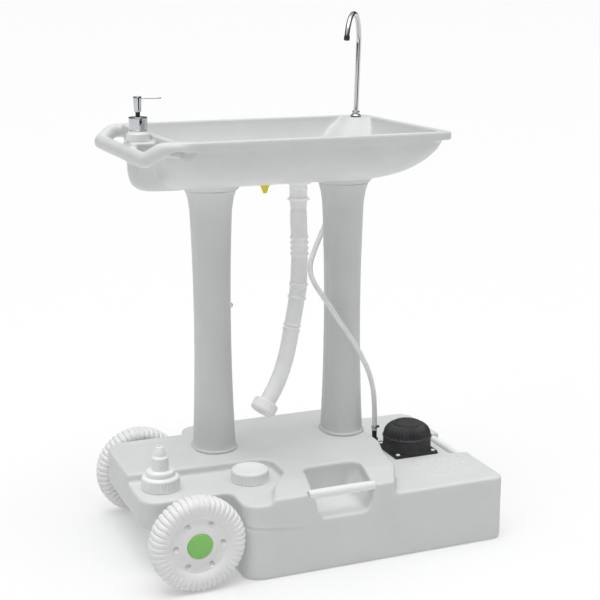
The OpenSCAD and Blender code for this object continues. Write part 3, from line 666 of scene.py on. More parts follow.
nut_profile = rounded([(17.6, nut_a, 0.4), (nut_r - 2.2, nut_a, 1.5), (nut_r, nut_a + 3.0, 1.2),
                       (nut_r, nut_b - 3.4, 2.6), (nut_r - 4.0, nut_b, 1.4),
                       (ins_r + 0.4, nut_b, 0.3), (ins_r + 0.4, nut_b - 4.0, 0.2),
                       (17.6, nut_b - 4.0, 0.2)], 5)
v, f = lathe(nut_profile, 144, grip(36, 0.55), step=2.0, closed=True)
drain_nut_piece = place_moved("drain_end_nut_ribbed", v, f, end_frame,
                              "root", "white_plastic", ["drain_end_nut"])
insert_profile = [(0, ins_b - 2.6), (7.0, ins_b - 2.6), (7.8, ins_b - 2.2), (8.6, ins_b - 0.7),
                  (9.4, ins_b), (ins_r - 1.0, ins_b), (ins_r - 0.2, ins_b - 0.4),
                  (ins_r, ins_b - 1.2), (ins_r, ins_a + 1.0), (ins_r - 1.0, ins_a), (0, ins_a)]
v, f = lathe(insert_profile, 72)
drain_insert_piece = place_moved("drain_end_disc", v, f, end_frame,
                                 "root", "drain_plastic", ["drain_end_insert"])


# ---- tank ----
filler_mid, outlet_mid = box_mm("filler_cap")[2], box_mm("outlet_ring")[2]
pump_mid = box_mm("pump_bulb")[2]
axle_mid = box_mm("axle")[2]
front_bar_mid = box_mm("front_handle_bar")[2]
end_bar_mid = box_mm("end_handle_bar")[2]
column_mids = [box_mm("column_left")[2], box_mm("column_right")[2]]
shelf_z = 148.0
platform_z = box_mm("pump_gasket")[0][2]
tank_low, tank_high, _ = box_mm("tank")


def cup(mid, top, depth, outer, inner):
    """A blind well that closes a round opening."""
    profile = [(0, top - depth), (outer, top - depth), (outer, top), (inner, top),
               (inner, top - depth + 4), (0, top - depth + 4)]
    v, f = lathe(profile, 48)
    return moved(v, Matrix.Translation((mid[0], mid[1], 0))), f


plug = lathe([(0, platform_z - 11), (33, platform_z - 11), (33, platform_z - 3),
              (0, platform_z - 3)], 48)
tank_mesh = one_skin(
    make_mesh("tank_parts", *joined(
        cad_copy("tank"), cup(filler_mid, shelf_z - 0.5, 60, 22, 19.6),
        cup(outlet_mid, shelf_z - 0.5, 60, 22, 19.6),
        (moved(plug[0], Matrix.Translation((pump_mid[0], pump_mid[1], 0))), plug[1]))), 2.5)


def near_axis(points, mid, radius, blend_mm=10.0):
    """1 within a vertical cylinder, falling to 0 outside it."""
    d = np.hypot(points[:, 0] - mid[0], points[:, 1] - mid[1])
    return 1 - step_between(d, radius, radius + blend_mm)


def tank_weight(p):
    """Edges are rounded most on the big faces and least round the fittings."""
    keep = np.zeros(len(p))
    for mid in (filler_mid, outlet_mid):
        keep = np.maximum(keep, near_axis(p, mid, 27, 7) * (p[:, 2] > shelf_z - 70))
    for mid in column_mids:
        keep = np.maximum(keep, near_axis(p, mid, 44, 6) * (p[:, 2] > 120))
    d = np.hypot(p[:, 0] - axle_mid[0], p[:, 2] - axle_mid[2])
    keep = np.maximum(keep, (1 - step_between(d, 22, 30)) * (np.abs(p[:, 1]) > 120))
    keep = np.maximum(keep, 1 - step_between(d, 8, 12))
    for mid, spot in ((front_bar_mid, 0.55), (end_bar_mid, 0.55)):
        d = np.abs(p - mid)
        inside = (d[:, 0] < 95) & (d[:, 1] < 80) & (d[:, 2] < 50)
        keep = np.maximum(keep, inside * spot)
    keep = np.maximum(keep, near_axis(p, pump_mid, 40, 10) * (p[:, 2] > 100))
    return 1 - 0.88 * keep


relax(tank_mesh, 18, tank_weight)


def tank_marks(p, n):
    """The parting line along the front."""
    out = np.zeros(len(p))
    # parting line on the front face, falling away from the wheel
    line_z = 104 - 0.13 * (p[:, 0] + 186)
    fade = 1 - step_between(p[:, 0], -120, -40)
    front = (n[:, 1] < -0.5) & (p[:, 1] < -150)
    out -= 2.2 * np.exp(-((p[:, 2] - line_z) / 1.9) ** 2) * fade * front
    out += 1.0 * np.exp(-((p[:, 2] - line_z - 5) / 2.2) ** 2) * fade * front
    return out


displaced(tank_mesh, tank_marks)
relax(tank_mesh, 1, lambda p: np.full(len(p), 0.6))
smoothed_flags(tank_mesh)
tank_skin = BVHTree.FromPolygons([corner.co.copy() for corner in tank_mesh.vertices],
                                 [tuple(face.vertices) for face in tank_mesh.polygons])
tank = place("tank_shell", tank_mesh, "root", "body_plastic", ["tank"], sharp=0)


def skin_height(x, y):
    """How high the tank's upper skin is at a place, or the platform's height where it has none."""
    hit = tank_skin.ray_cast(Vector((x * MM, y * MM, 0.25)), Vector((0, 0, -1)))[0]
    return hit.z / MM if hit else platform_z


def tread_patch():
    """Raised staggered cells moulded on the platform, each sinking into it at its border."""
    xs = np.arange(pump_mid[0] - 40, pump_mid[0] + 88, 0.9)
    ys = np.arange(-176, -60, 0.9)
    gx, gy = np.meshgrid(xs, ys)
    ground = np.array([skin_height(x, y) for x, y in zip(gx.ravel(), gy.ravel())])
    ground = np.clip(ground.reshape(gx.shape), platform_z - 1.5, platform_z + 1.5)
    row = np.floor((gy + 176) / 9.6)
    along = np.mod(gx - pump_mid[0] + 40 + 8.5 * np.mod(row, 2), 17.0) - 8.5
    across = np.mod(gy + 176, 9.6) - 4.8
    # six-sided cells with thin grooves between them
    gap = np.minimum(7.6 - np.abs(along) - 0.35 * np.abs(across), 4.0 - np.abs(across))
    u = (gx - pump_mid[0] - 21) / 66.0
    w = (gy + 118) / 55.0
    inside = 1 - step_between(np.abs(u) ** 3 + np.abs(w) ** 3, 0.55, 1.0)
    height = ground - 0.5 + (1.5 * step_between(gap, 0.0, 1.4)) * inside
    points = np.stack([gx, gy, height], axis=2).reshape(-1, 3)
    rows, columns = gx.shape
    first = np.arange(rows * columns).reshape(rows, columns)
    faces = np.stack([first[:-1, :-1], first[:-1, 1:], first[1:, 1:], first[1:, :-1]],
                     axis=2).reshape(-1, 4)
    under = points.copy()
    under[:, 2] -= 1.2
    count = rows * columns
    edge = np.concatenate([first[0, :-1], first[:-1, -1], first[-1, :0:-1], first[:0:-1, 0]])
    ahead = np.roll(edge, -1)
    sides = np.stack([edge + count, ahead + count, ahead, edge], axis=1)
    return (np.vstack([points, under]).tolist(),
            faces.tolist() + (faces[:, ::-1] + count).tolist() + sides.tolist())


place("platform_tread", make_mesh("platform_tread", *tread_patch()), "root", "body_plastic")


# ---- basin ----
basin_low, basin_high, _ = box_mm("basin")
rim_z = basin_high[2]
half_w = basin_high[1]
soap_mid = box_mm("soap_collar")[2]
faucet_mid = box_mm("faucet_nut")[2]
drain_mid = box_mm("drain_washer")[2]
bung_mid = box_mm("drain_bung")[2]
x0, x1 = -298.0, basin_high[0]
outer = slabs([(712, x0 + 36, x1 - 110, 60, 50), (718, x0 + 18, x1 - 80, half_w - 88, 60),
               (733, x0 + 6, x1 - 52, half_w - 45, 60), (755, x0 + 1, x1 - 25, half_w - 19, 55),
               (780, x0, x1 - 8, half_w - 5, 45), (795, x0, x1 - 5, half_w - 4, 40)])
lip = extruded(rounded([(x0, -half_w, 38), (x1, -half_w, 9), (x1, half_w, 20),
                        (x0, half_w, 38)], 16), rim_z - 16, rim_z)
inner = slabs([(717, x0 + 60, x1 - 115, 56, 46), (725, x0 + 46, x1 - 84, half_w - 96, 56),
               (739, x0 + 40, x1 - 66, half_w - 66, 56), (763, x0 + 29, x1 - 38, half_w - 36, 50),
               (rim_z - 8, x0 + 17, x1 - 16, half_w - 15.5, 30),
               (rim_z + 3, x0 + 15, x1 - 14, half_w - 14, 28)])
loop_x, loop_y, loop_z = -341.0, 160.0, 779.0
loop_half = [(x0 + 42, 178, 797.5), (x0 + 20, 178, 797.5), (x0 - 2, 176.5, 797.5),
             (x0 - 17, 172, 796.5), (x0 - 30, 166, 788), (loop_x + 1.5, 158, 780.5),
             (loop_x, 146, loop_z), (loop_x, 110, loop_z), (loop_x, 70, loop_z),
             (loop_x, 35, loop_z)]
loop_line = smooth_route([(x, -y, z) for x, y, z in loop_half] + [(loop_x, 0, loop_z)]
                         + loop_half[::-1], 6)
loop_bar = tube(loop_line, 13.6, 32)
tongue_top = 800.0
tongue = extruded(rounded([(loop_x, soap_mid[1] - 30, 6), (x0 + 8, soap_mid[1] - 36, 0),
                           (x0 + 8, soap_mid[1] + 36, 0), (loop_x, soap_mid[1] + 30, 6)], 5),
                  tongue_top - 8, tongue_top)
pocket_rows = []
for z, shift, near_r, far_r in ((708.6, 27, 5, 10), (709.4, 22, 10, 20), (712, 15, 15, 30),
                                (717, 8.5, 18, 38), (724, 4, 19.7, 44), (734, 1.2, 20.3, 46),
                                (750, 0, 20.5, 46), (772, 0, 20.5, 42), (788, 0, 20.5, 36),
                                (tongue_top, 0, 20.5, 33)):
    near_x, far_x = soap_mid[0] + shift, x0 + 52
    pocket_rows.append([(x, y, z) for x, y in rounded(
        [(near_x - near_r, soap_mid[1] - near_r, near_r - 0.5),
         (far_x, soap_mid[1] - far_r, 2), (far_x, soap_mid[1] + far_r, 2),
         (near_x - near_r, soap_mid[1] + near_r, near_r - 0.5)], 10)])
pocket_rows = np.array(pocket_rows, float)
pocket = skin(pocket_rows, False, pocket_rows[0].mean(0), pocket_rows[-1].mean(0))


def boss(mid):
    """The flared seat over a column's head, with its small step."""
    profile = [(0, 688), (53.5, 688), (55.5, 689.5), (56.5, 693), (58.0, 697), (61.5, 700),
               (64.0, 703), (67.0, 712), (71.0, 724), (76.0, 738), (0, 738)]
    v, f = lathe(profile, 96)
    return moved(v, Matrix.Translation((mid[0], mid[1], 0))), f


bosses = [boss(mid) for mid in column_mids]
basin_solid = one_skin(make_mesh("basin_parts", *joined(
    outer, lip, loop_bar, tongue, pocket, *bosses)), 2.5)


def rod(mid, radius, z0, z1, around=48):
    v, f = lathe([(0, z0), (radius, z0), (radius, z1), (0, z1)], around)
    return moved(v, Matrix.Translation((mid[0], mid[1], 0))), f


bowl_cut = make_mesh("bowl_cut", *inner)
ledge_top = 808.0
ledge_rows = []
for z, grow in ((700, 62), (745, 54), (772, 40), (788, 25), (798, 12), (804, 4), (ledge_top, 0)):
    ledge_rows.append([(x, y, z) for x, y in rounded(
        [(faucet_mid[0] - 24 - grow, faucet_mid[1] + 60, 0),
         (faucet_mid[0] - 24 - grow, faucet_mid[1] - 24 - grow, 22 + grow * 0.7),
         (faucet_mid[0] + 60, faucet_mid[1] - 24 - grow, 0),
         (faucet_mid[0] + 60, faucet_mid[1] + 60, 0)], 8)])
ledge_rows = np.array(ledge_rows, float)
ledge_keep = make_mesh("ledge_keep", *skin(ledge_rows, False, ledge_rows[0].mean(0),
                                           ledge_rows[-1].mean(0)))
bowl_cut = carved(bowl_cut, ledge_keep)
basin_solid = carved(basin_solid, bowl_cut)
for mid, radius, z0, z1 in ((drain_mid, 17.4, 690, 730), (bung_mid, 7.4, 690, 730),
                            (faucet_mid, 17.0, 690, ledge_top - 6), (faucet_mid, 8.2, 780, 830),
                            (soap_mid, 17.4, box_mm("soap_bottle")[0][2] - 0.2, 830)):
    basin_solid = carved(basin_solid, make_mesh("hole", *rod(mid, radius, z0, z1)))
# finger recess under the lip at the front left corner
corner_xy = (x0 + 38, -half_w + 38)


def corner_wedge(first_deg, last_deg, near, far, z0, z1):
    """A curved block round the corner's centre, to cut the recess with."""
    turns = np.radians(np.linspace(first_deg, last_deg, 16))
    outline = [(corner_xy[0] + far * math.cos(t), corner_xy[1] + far * math.sin(t)) for t in turns]
    outline += [(corner_xy[0] + near * math.cos(t), corner_xy[1] + near * math.sin(t))
                for t in turns[::-1]]
    return extruded(np.array(outline), z0, z1)


for first_deg, last_deg, near, z0 in ((214, 270, 29.0, 789), (222, 268, 29.5, 785),
                                      (232, 265, 30.5, 779)):
    basin_solid = carved(basin_solid, make_mesh("recess_cut", *corner_wedge(
        first_deg, last_deg, near, 60, z0, 795.0)))
basin_mesh = one_skin(basin_solid, 2.2)


def basin_weight(p):
    w = np.full(len(p), 1.0)
    w = np.where(p[:, 2] > rim_z - 20, 0.26, w)
    near_corner = np.hypot(p[:, 0] - corner_xy[0], p[:, 1] - corner_xy[1]) < 46
    w = np.where(near_corner & (p[:, 2] > 776) & (p[:, 2] < 800), 0.12, w)
    w = np.where((p[:, 0] < x0 - 2) & (p[:, 2] > 758), 0.25, w)
    for mid, radius in ((drain_mid, 22), (bung_mid, 11), (faucet_mid, 20), (soap_mid, 21)):
        w = np.where((near_axis(p, mid, radius, 5) > 0.5) & (p[:, 2] > 745), 0.12, w)
        w = np.where((near_axis(p, mid, radius, 5) > 0.5) & (mid[2] < 745), 0.12, w)
    for mid in column_mids:
        near = near_axis(p, mid, 66, 4) > 0.5
        w = np.where(near & (p[:, 2] < 706), 0.18, w)
    return w


relax(basin_mesh, 26, basin_weight)
smoothed_flags(basin_mesh)
basin = place("basin_shell", basin_mesh, "root", "body_plastic", ["basin"], sharp=0)


# ---- columns ----
def column_width(z):
    return 34.0 + 6.5 * ((z - 430) / 255) ** 2


def column(name, node, mid, seam_side):
    """A hollow column of a round-ended section, with its foot bead and its parting seam."""
    low, high, _ = box_mm(node)
    foot, head = 165.2, 687.8
    outline = [(30.0, low[2]), (30.0, foot - 0.2), (41.5, foot), (43.6, foot + 1.2),
               (44.2, foot + 3.0), (43.6, foot + 4.8), (41.6, foot + 6.0)]
    outline += [(column_width(z), z) for z in np.linspace(foot + 8, 648, 40)]
    outline += [(40.5, 660.0), (41.6, 668.0), (43.6, 676.0), (46.0, 683.0), (47.4, head - 1.2),
                (46.6, head), (30.0, head + 0.2), (30.0, high[2]), (27.0, high[2]),
                (27.0, low[2])]
    angles = list(np.linspace(0, TAU, 112, endpoint=False))
    for seam in (0.0, math.pi):
        angles += [seam + d for d in (-0.10, -0.07, -0.04, -0.018, 0.018, 0.04, 0.07, 0.10)]
    angles = np.unique(np.round(np.mod(angles, TAU), 6))
    line = np.array(outline)
    r = np.repeat(line[:, :1], len(angles), axis=1)
    away = np.abs(np.angle(np.exp(1j * (angles - (0.0 if seam_side > 0 else math.pi)))))
    other = np.abs(np.angle(np.exp(1j * (angles - (math.pi if seam_side > 0 else 0.0)))))
    on_wall = ((line[:, 1] > foot + 7) & (line[:, 1] < head - 4) & (line[:, 0] > 31))[:, None]
    r = r + on_wall * (1.5 * np.exp(-(away / 0.045) ** 2) - 0.7 * np.exp(-((away - 0.09) / 0.03) ** 2)
                       + 0.8 * np.exp(-(other / 0.04) ** 2))[None, :]
    side = np.sign(np.sin(angles)) * 8.0
    side = np.where(np.abs(np.sin(angles)) < 0.12, 8.0 * np.sin(angles) / 0.12, side)
    x = mid[0] + r * np.cos(angles)[None, :]
    y = mid[1] + r * np.sin(angles)[None, :] + side[None, :]
    z = np.repeat(line[:, 1:2], len(angles), axis=1)
    v, f = skin(np.stack([x, y, z], axis=2), closed_u=True)
    parts = [(v, f)]
    if node == "column_left":
        eye = lathe(rounded([(2.7, -1.5, 0.5), (5.4, -1.5, 0.8), (5.4, 1.5, 0.8),
                             (2.7, 1.5, 0.5)], 3), 40, closed=True)
        turn = Matrix.Translation((mid[0] + 37.8, mid[1], 455)) @ Matrix.Rotation(
            math.pi / 2, 4, "X")
        parts.append((moved(eye[0], turn), eye[1]))
    place(name, make_mesh(name, *joined(*parts)), "root", "body_plastic", [node], sharp=50)


column_centre = [np.array([-150.0, 75.0, 0]), np.array([130.0, 75.0, 0])]
column("column_left_shell", "column_left", column_centre[0], 1)
column("column_right_shell", "column_right", column_centre[1], -1)


# ---- wheels ----
def facing(mid, outward):
    """Turns a piece made along Z to lie along Y, its top towards outward."""
    return Matrix.Translation(tuple(mid)) @ Matrix.Rotation(-outward * math.pi / 2, 4, "X")


def wheel_mesh(name, mid, outward):
    """A blow-moulded wheel: pillowed tread, dished face, dimples and hub, axis along Y."""
    R, h = 90.0, 25.0
    # (radius, height towards the outer face) round the section
    tread = [(52.0, 15.5), (55.5, 18.6), (60.0, 21.6), (66.0, 23.9), (72.0, 24.8), (77.0, 24.2),
             (81.5, 22.0), (85.2, 18.4), (87.7, 14.0), (89.1, 9.0), (89.5, 4.0), (89.6, 0.0)]
    tread = smooth_outline(tread, 3)
    outer_face = [(6.2, 13.0), (23.8, 13.0), (23.8, 16.6), (24.4, 17.4), (27.0, 17.6),
                  (31.5, 17.0), (35.5, 15.6), (40.0, 14.8), (48.0, 14.6)]
    face = resampled(np.vstack([outer_face, tread]), 0.8)
    back = face * [1, -1]
    back = back[back[:, 0] > 24.3][::-1]
    inner_hub = np.array([(21.0, -17.6), (16.5, -19.0), (16.0, -24.6), (15.0, -24.9),
                          (6.2, -24.9)])
    line = np.vstack([face, back[1:], resampled(inner_hub, 1.2)])
    around = 600
    angle = np.linspace(0, TAU, around, endpoint=False)
    r = np.repeat(line[:, :1], around, axis=1)
    y = np.repeat(line[:, 1:2], around, axis=1)
    turn = np.repeat(angle[None, :], len(line), axis=0)
    # creases of the tread, one every 48th of a turn, fading on the face
    crease = np.abs(np.cos(24 * turn)) ** 8
    swell = 0.5 * (1 - np.abs(np.cos(24 * turn)) ** 2)
    reach = step_between(r, 57.0, 74.0)
    depth = (0.7 + 2.9 * reach) * reach * crease - 0.2 * reach * swell
    nr, ny = r - 68.0, y
    size = np.hypot(nr, ny * 1.6)
    size = np.where(size < 1e-6, 1, size)
    r = r - depth * np.where(reach > 0, nr / size, 0)
    y = y - depth * np.where(reach > 0, ny / size, 0)
    # six dimples
    for k in range(6):
        a = math.radians(60 * k)
        d = np.hypot(r * np.cos(turn) - 44.1 * math.cos(a), r * np.sin(turn) - 44.1 * math.sin(a))
        sink = 11.0 * (1 - step_between(d, 4.0, 5.9)) + 0.5 * np.exp(-((d - 6.9) / 1.0) ** 2)
        y = np.where((r > 30) & (r < 58), y - np.sign(y) * sink, y)
    points = np.stack([r * np.cos(turn), r * np.sin(turn), y], axis=2)
    v, f = skin(points, closed_u=True)
    return make_mesh(name, moved(v, facing(mid, outward)), f)


def hub_cap_mesh(name, mid, outward):
    """The shallow domed disc pressed into a wheel's hub."""
    profile = rounded([(0, 0, 0), (23.3, 0, 0.4), (23.3, 5.4, 1.4), (19.5, 7.6, 6.0),
                       (0, 8.3, 0)], 5)
    profile = np.vstack([profile[0:1], resampled(profile[1:], 1.5)])
    v, f = lathe(profile, 96)
    seat = facing(mid, outward) @ Matrix.Translation((0, 0, 13.1))
    return make_mesh(name, moved(v, seat), f)


wheel_mids = {"front": np.array([-275.0, -200.0, 90.0]), "rear": np.array([-275.0, 200.0, 90.0])}
for which, outward in (("front", -1), ("rear", 1)):
    place(f"wheel_{which}_moulded", wheel_mesh(f"wheel_{which}_moulded", wheel_mids[which],
                                               outward),
          f"wheel_{which}", "wheel_plastic", [f"wheel_{which}"], sharp=60)
    place(f"hub_cap_{which}_domed", hub_cap_mesh(f"hub_cap_{which}_domed", wheel_mids[which],
                                                 outward),
          f"wheel_{which}", "green_plastic", [f"hub_cap_{which}"], sharp=50)


# ---- caps ----
def finger_ribs(count, low, high, outer_r, depth):
    """Upright finger ribs on a cap's wall, fading at its two ends."""
    def ripple(radius, height, turn):
        groove = np.abs(np.cos(count * turn / 2)) ** 3
        tall = step_between(height, low, low + 3) * (1 - step_between(height, high - 4, high))
        wall = step_between(radius, outer_r - 2.4, outer_r - 1.2)
        return radius - depth * groove * tall * wall, height
    return ripple


def at(mid, z=0.0):
    return Matrix.Translation((mid[0], mid[1], z))


cap_r = 36.4
z = shelf_z + 1
cap_profile = [(25.3, z), (33.0, z), (35.6, z + 0.8), (cap_r, z + 2.6), (cap_r, z + 17.5),
               (35.6, z + 20.6), (33.6, z + 22.9), (30.6, z + 23.9), (27.6, z + 23.4),
               (25.6, z + 22.2), (22.0, z + 21.6), (0, z + 21.3)]
cap_line = resampled(smooth_outline(cap_profile[1:11], 4), 1.2)
cap_line = np.vstack([[(0, z + 19.2), (23.2, z + 19.2), (25.3, z + 18.8)], [(25.3, z + 0.4)],
                      cap_line, [(0, z + 21.3)]])
v, f = lathe(cap_line, 288, finger_ribs(36, z + 1.5, z + 19, cap_r, 1.3))
place_moved("filler_cap_ribbed", v, f, at(filler_mid),
            "filler_cap", "white_plastic", ["filler_cap"], sharp=50)

ring_line = smooth_outline((
    (28.0, z), (33.0, z), (35.6, z + 0.8), (cap_r, z + 2.8), (cap_r, z + 19.0),
    (35.4, z + 22.8), (33.0, z + 25.2), (29.5, z + 25.9), (22.0, z + 25.9)), 4)
ring_line = np.vstack([resampled(ring_line, 1.2), [(17.4, z + 25.9), (17.4, z + 23.4),
                                                   (25.3, z + 23.0), (25.3, z + 0.4)]])
v, f = lathe(ring_line, 288, finger_ribs(36, z + 1.5, z + 22, cap_r, 1.3), closed=True)
place_moved("outlet_ring_ribbed", v, f, at(outlet_mid),
            "outlet_cap", "white_plastic", ["outlet_ring"], sharp=50)

disc_low, disc_high, _ = box_mm("outlet_lock_disc")
disc_line = smooth_outline((
    (20.0, disc_low[2]), (26.0, disc_low[2]), (27.6, disc_low[2] + 1.2),
    (27.9, disc_low[2] + 3.5), (27.6, disc_high[2] - 3.6), (26.4, disc_high[2] - 1.4),
    (24.0, disc_high[2] - 0.2), (20.0, disc_high[2])), 4)
disc_line = np.vstack([disc_line, [(17.2, disc_high[2]), (17.2, disc_low[2])]])
v, f = lathe(disc_line, 120, closed=True)
place_moved("outlet_lock_disc_rounded", v, f, at(outlet_mid),
            "outlet_cap", "white_plastic", ["outlet_lock_disc"], sharp=50)


def nozzle_ripple(radius, height, turn):
    """Fine flutes on the nozzle's drum."""
    drum = step_between(height, 188, 191) * (1 - step_between(height, 206, 210))
    groove = np.abs(np.cos(12 * turn)) ** 4
    return radius - 0.55 * groove * drum * (radius > 12), height


nozzle_line = rounded([(9.0, 170.1, 0), (24.4, 170.1, 0.4), (24.4, 172.0, 0.4), (17.0, 172.0, 0.3),
                       (17.0, 186.0, 0.4), (16.0, 186.0, 0.2), (16.0, 210.5, 2.2),
                       (12.4, 213.6, 1.2), (11.2, 220.0, 3.0), (7.2, 230.6, 2.0),
                       (5.0, 231.9, 0.8), (3.0, 231.9, 0.4), (3.0, 192.5, 0), (9.0, 192.4, 0)], 4)
v, f = lathe(nozzle_line, 192, nozzle_ripple, step=2.0, closed=True)
place_moved("outlet_nozzle_fluted", v, f, at(outlet_mid),
            "outlet_cap", "white_plastic", ["outlet_nozzle"], sharp=50)


# ---- foot pump ----
plate_low, plate_high, _ = box_mm("pump_base_plate")
bulb_low, bulb_high, _ = box_mm("pump_bulb")
tread_low, tread_high, _ = box_mm("pump_tread_cap")
bulb_r = (bulb_high[0] - bulb_low[0]) / 2
b0, b1 = bulb_low[2], bulb_high[2]
bulb_line = smooth_outline((
    (bulb_r - 1.2, b0), (bulb_r - 0.8, b0 + 1.5), (bulb_r - 1.4, b0 + 4.0),
    (bulb_r - 1.5, b0 + 22.0), (bulb_r - 1.6, b0 + 24.0), (bulb_r - 0.2, b0 + 25.6),
    (bulb_r - 0.2, b0 + 27.4), (bulb_r - 1.8, b0 + 29.0), (bulb_r - 2.0, b0 + 32.0),
    (bulb_r - 3.6, b0 + 38.0), (bulb_r - 7.5, b0 + 44.5), (bulb_r - 13.5, b0 + 49.6),
    (bulb_r - 19.0, b0 + 52.0), (bulb_r - 22.2, b1)), 5)
bulb_line = np.vstack([resampled(bulb_line, 1.3), [(20, b1 - 0.05), (20, b1 - 3), (bulb_r - 24, b1 - 3.4),
                                                   (bulb_r - 15, b1 - 6.8),
                                                   (bulb_r - 7, b1 - 13), (bulb_r - 4.8, b1 - 22),
                                                   (bulb_r - 4.4, b0 + 1)]])


def bulb_ripple(radius, height, turn):
    """Fine upright ribs on the wall and rounded scallops on the shoulder."""
    outside = step_between(radius, 22, 26) * (radius > 0)
    hollow = (radius < bulb_r - 4.1) & (height < b0 + 36)
    outside = np.where(hollow, 0, outside)
    low_wall = step_between(height, b0 + 2, b0 + 5) * (1 - step_between(height, b0 + 21, b0 + 24))
    shoulder = step_between(height, b0 + 28.5, b0 + 31) * (1 - step_between(height, b1 - 1.4, b1 - 0.2))
    fine = np.abs(np.cos(24 * turn)) ** 3
    scallop = np.abs(np.cos(18 * turn)) ** 2.2
    return radius - outside * (1.0 * fine * low_wall + 3.0 * scallop * shoulder), height


v, f = lathe(bulb_line, 576, bulb_ripple, closed=True)
bulb = place_moved("pump_bulb_ribbed", v, f, at(pump_mid),
                   "root", "pump_rubber", ["pump_bulb"], sharp=60)
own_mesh(bulb)


def tread_ripple(radius, height, turn):
    """A crossed net of fine ridges on the domed top."""
    x, y = radius * np.cos(turn), radius * np.sin(turn)
    net = np.maximum(np.abs(np.cos(math.pi * (x + y) / 7.0)), np.abs(np.cos(math.pi * (x - y) / 7.0)))
    top = step_between(height, tread_low[2] + 1.0, tread_low[2] + 1.8)
    inside = 1 - step_between(radius, 25.5, 27.5)
    rim = (0.5 * np.abs(np.cos(18 * turn)) ** 2.2) * step_between(radius, 24.5, 28) * top
    return radius, height - 1.3 * (1 - net ** 4) * top * inside - rim


tread_r = 28.9
dome = [(r, tread_high[2] - 4.2 * (r / tread_r) ** 2.2) for r in np.linspace(0.4, 27.2, 54)]
tread_line = np.vstack([[(0, tread_low[2])], [(tread_r - 0.6, tread_low[2])],
                        [(tread_r, tread_low[2] + 0.5)], [(tread_r, tread_low[2] + 1.0)],
                        [(tread_r - 0.6, tread_low[2] + 1.7)], dome[::-1], [(0, tread_high[2])]])
v, f = lathe(tread_line, 240, tread_ripple)
place_moved("pump_tread_netted", v, f, at(pump_mid),
            "pump_tread", "pump_rubber", ["pump_tread_cap"], sharp=50)

p0, p1 = 132.0, 136.0
plate = pillow(rounded([(pump_mid[0] - 49, pump_mid[1] - 49, 7), (pump_mid[0] + 49, pump_mid[1] - 49, 7),
                        (pump_mid[0] + 49, pump_mid[1] + 49, 7), (pump_mid[0] - 49, pump_mid[1] + 49, 7)],
                       8), p0, p1 - 0.05, 0.9)
barb_mid = box_mm("pump_outlet_elbow")[2]
arm = pillow(rounded([(barb_mid[0] - 8, barb_mid[1] - 8, 5), (barb_mid[0] + 22, barb_mid[1] - 8, 1),
                      (barb_mid[0] + 22, barb_mid[1] + 8, 1), (barb_mid[0] - 8, barb_mid[1] + 8, 5)],
                     6), p0, p1 - 0.1, 0.7)
spigot = rod(pump_mid, 12, plate_low[2], p0 + 0.5, 48)
place("pump_flange", make_mesh("pump_flange", *joined(plate, arm, spigot)), "root",
      "black_plastic", ["pump_base_plate"], sharp=45)

screw_low, screw_high, screw_mid = box_mm("pump_screws")
screw_parts = []
for sx in (-1, 1):
    for sy in (-1, 1):
        head = lathe([(0, 128.2), (1.9, 128.4), (1.95, 136.0), (4.3, 136.05), (4.4, 136.6),
                      (4.1, 137.5), (3.2, 138.2), (1.9, 138.38), (1.7, 137.6), (0.6, 137.3),
                      (0, 137.3)], 40)
        screw_parts.append((moved(head[0], Matrix.Translation(
            (screw_mid[0] + 40 * sx, screw_mid[1] + 40 * sy, 0))), head[1]))
place("pump_screw_heads", make_mesh("pump_screw_heads", *joined(*screw_parts)), "root",
      "white_plastic", ["pump_screws"], sharp=40)


def spring_mesh(name, mid, radius, z_low, z_high, turns, wire, steps=24):
    """A wound spring with its first and last turns closed up."""
    count = int(turns * steps)
    t = np.linspace(0, 1, count + 1)
    rise = step_between(t, 0.0, 1.0) * 0.35 + t * 0.65
    line = np.column_stack([radius * np.cos(TAU * turns * t), radius * np.sin(TAU * turns * t),
                            z_low + wire + (z_high - z_low - 2 * wire) * rise])
    v, f = tube(line + np.array([mid[0], mid[1], 0]), wire, 10)
    return make_mesh(name, v, f)


spring_low, spring_high, _ = box_mm("pump_spring")
pump_spring = place("pump_spring_wound", spring_mesh("pump_spring_wound", pump_mid, 20.0,
                                                     spring_low[2], spring_high[2], 5, 1.2),
                    "root", "steel", ["pump_spring"], sharp=0)
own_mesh(pump_spring)
soap_low, soap_high, soap_spring_mid = box_mm("soap_spring")
soap_spring = place("soap_spring_wound", spring_mesh("soap_spring_wound", soap_mid, 5.4,
                                                     soap_low[2], soap_high[2], 6, 0.5),
                    "root", "steel", ["soap_spring"], sharp=0)
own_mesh(soap_spring)


# ---- handle bars ----
def handle_tube(start, end, radius, swell=0.8):
    """A moulded bar, a little thicker in the middle and rounded at its ends."""
    start, end = np.asarray(start, float), np.asarray(end, float)
    t = np.concatenate([[0, 0.004, 0.012], np.linspace(0.03, 0.97, 48), [0.988, 0.996, 1]])
    line = start + (end - start) * t[:, None]
    r = radius - swell + swell * np.sin(math.pi * t) ** 0.5
    r[[0, -1]] = radius - 1.6
    r[[1, -2]] = radius - 1.1
    return tube(line, r, 40)


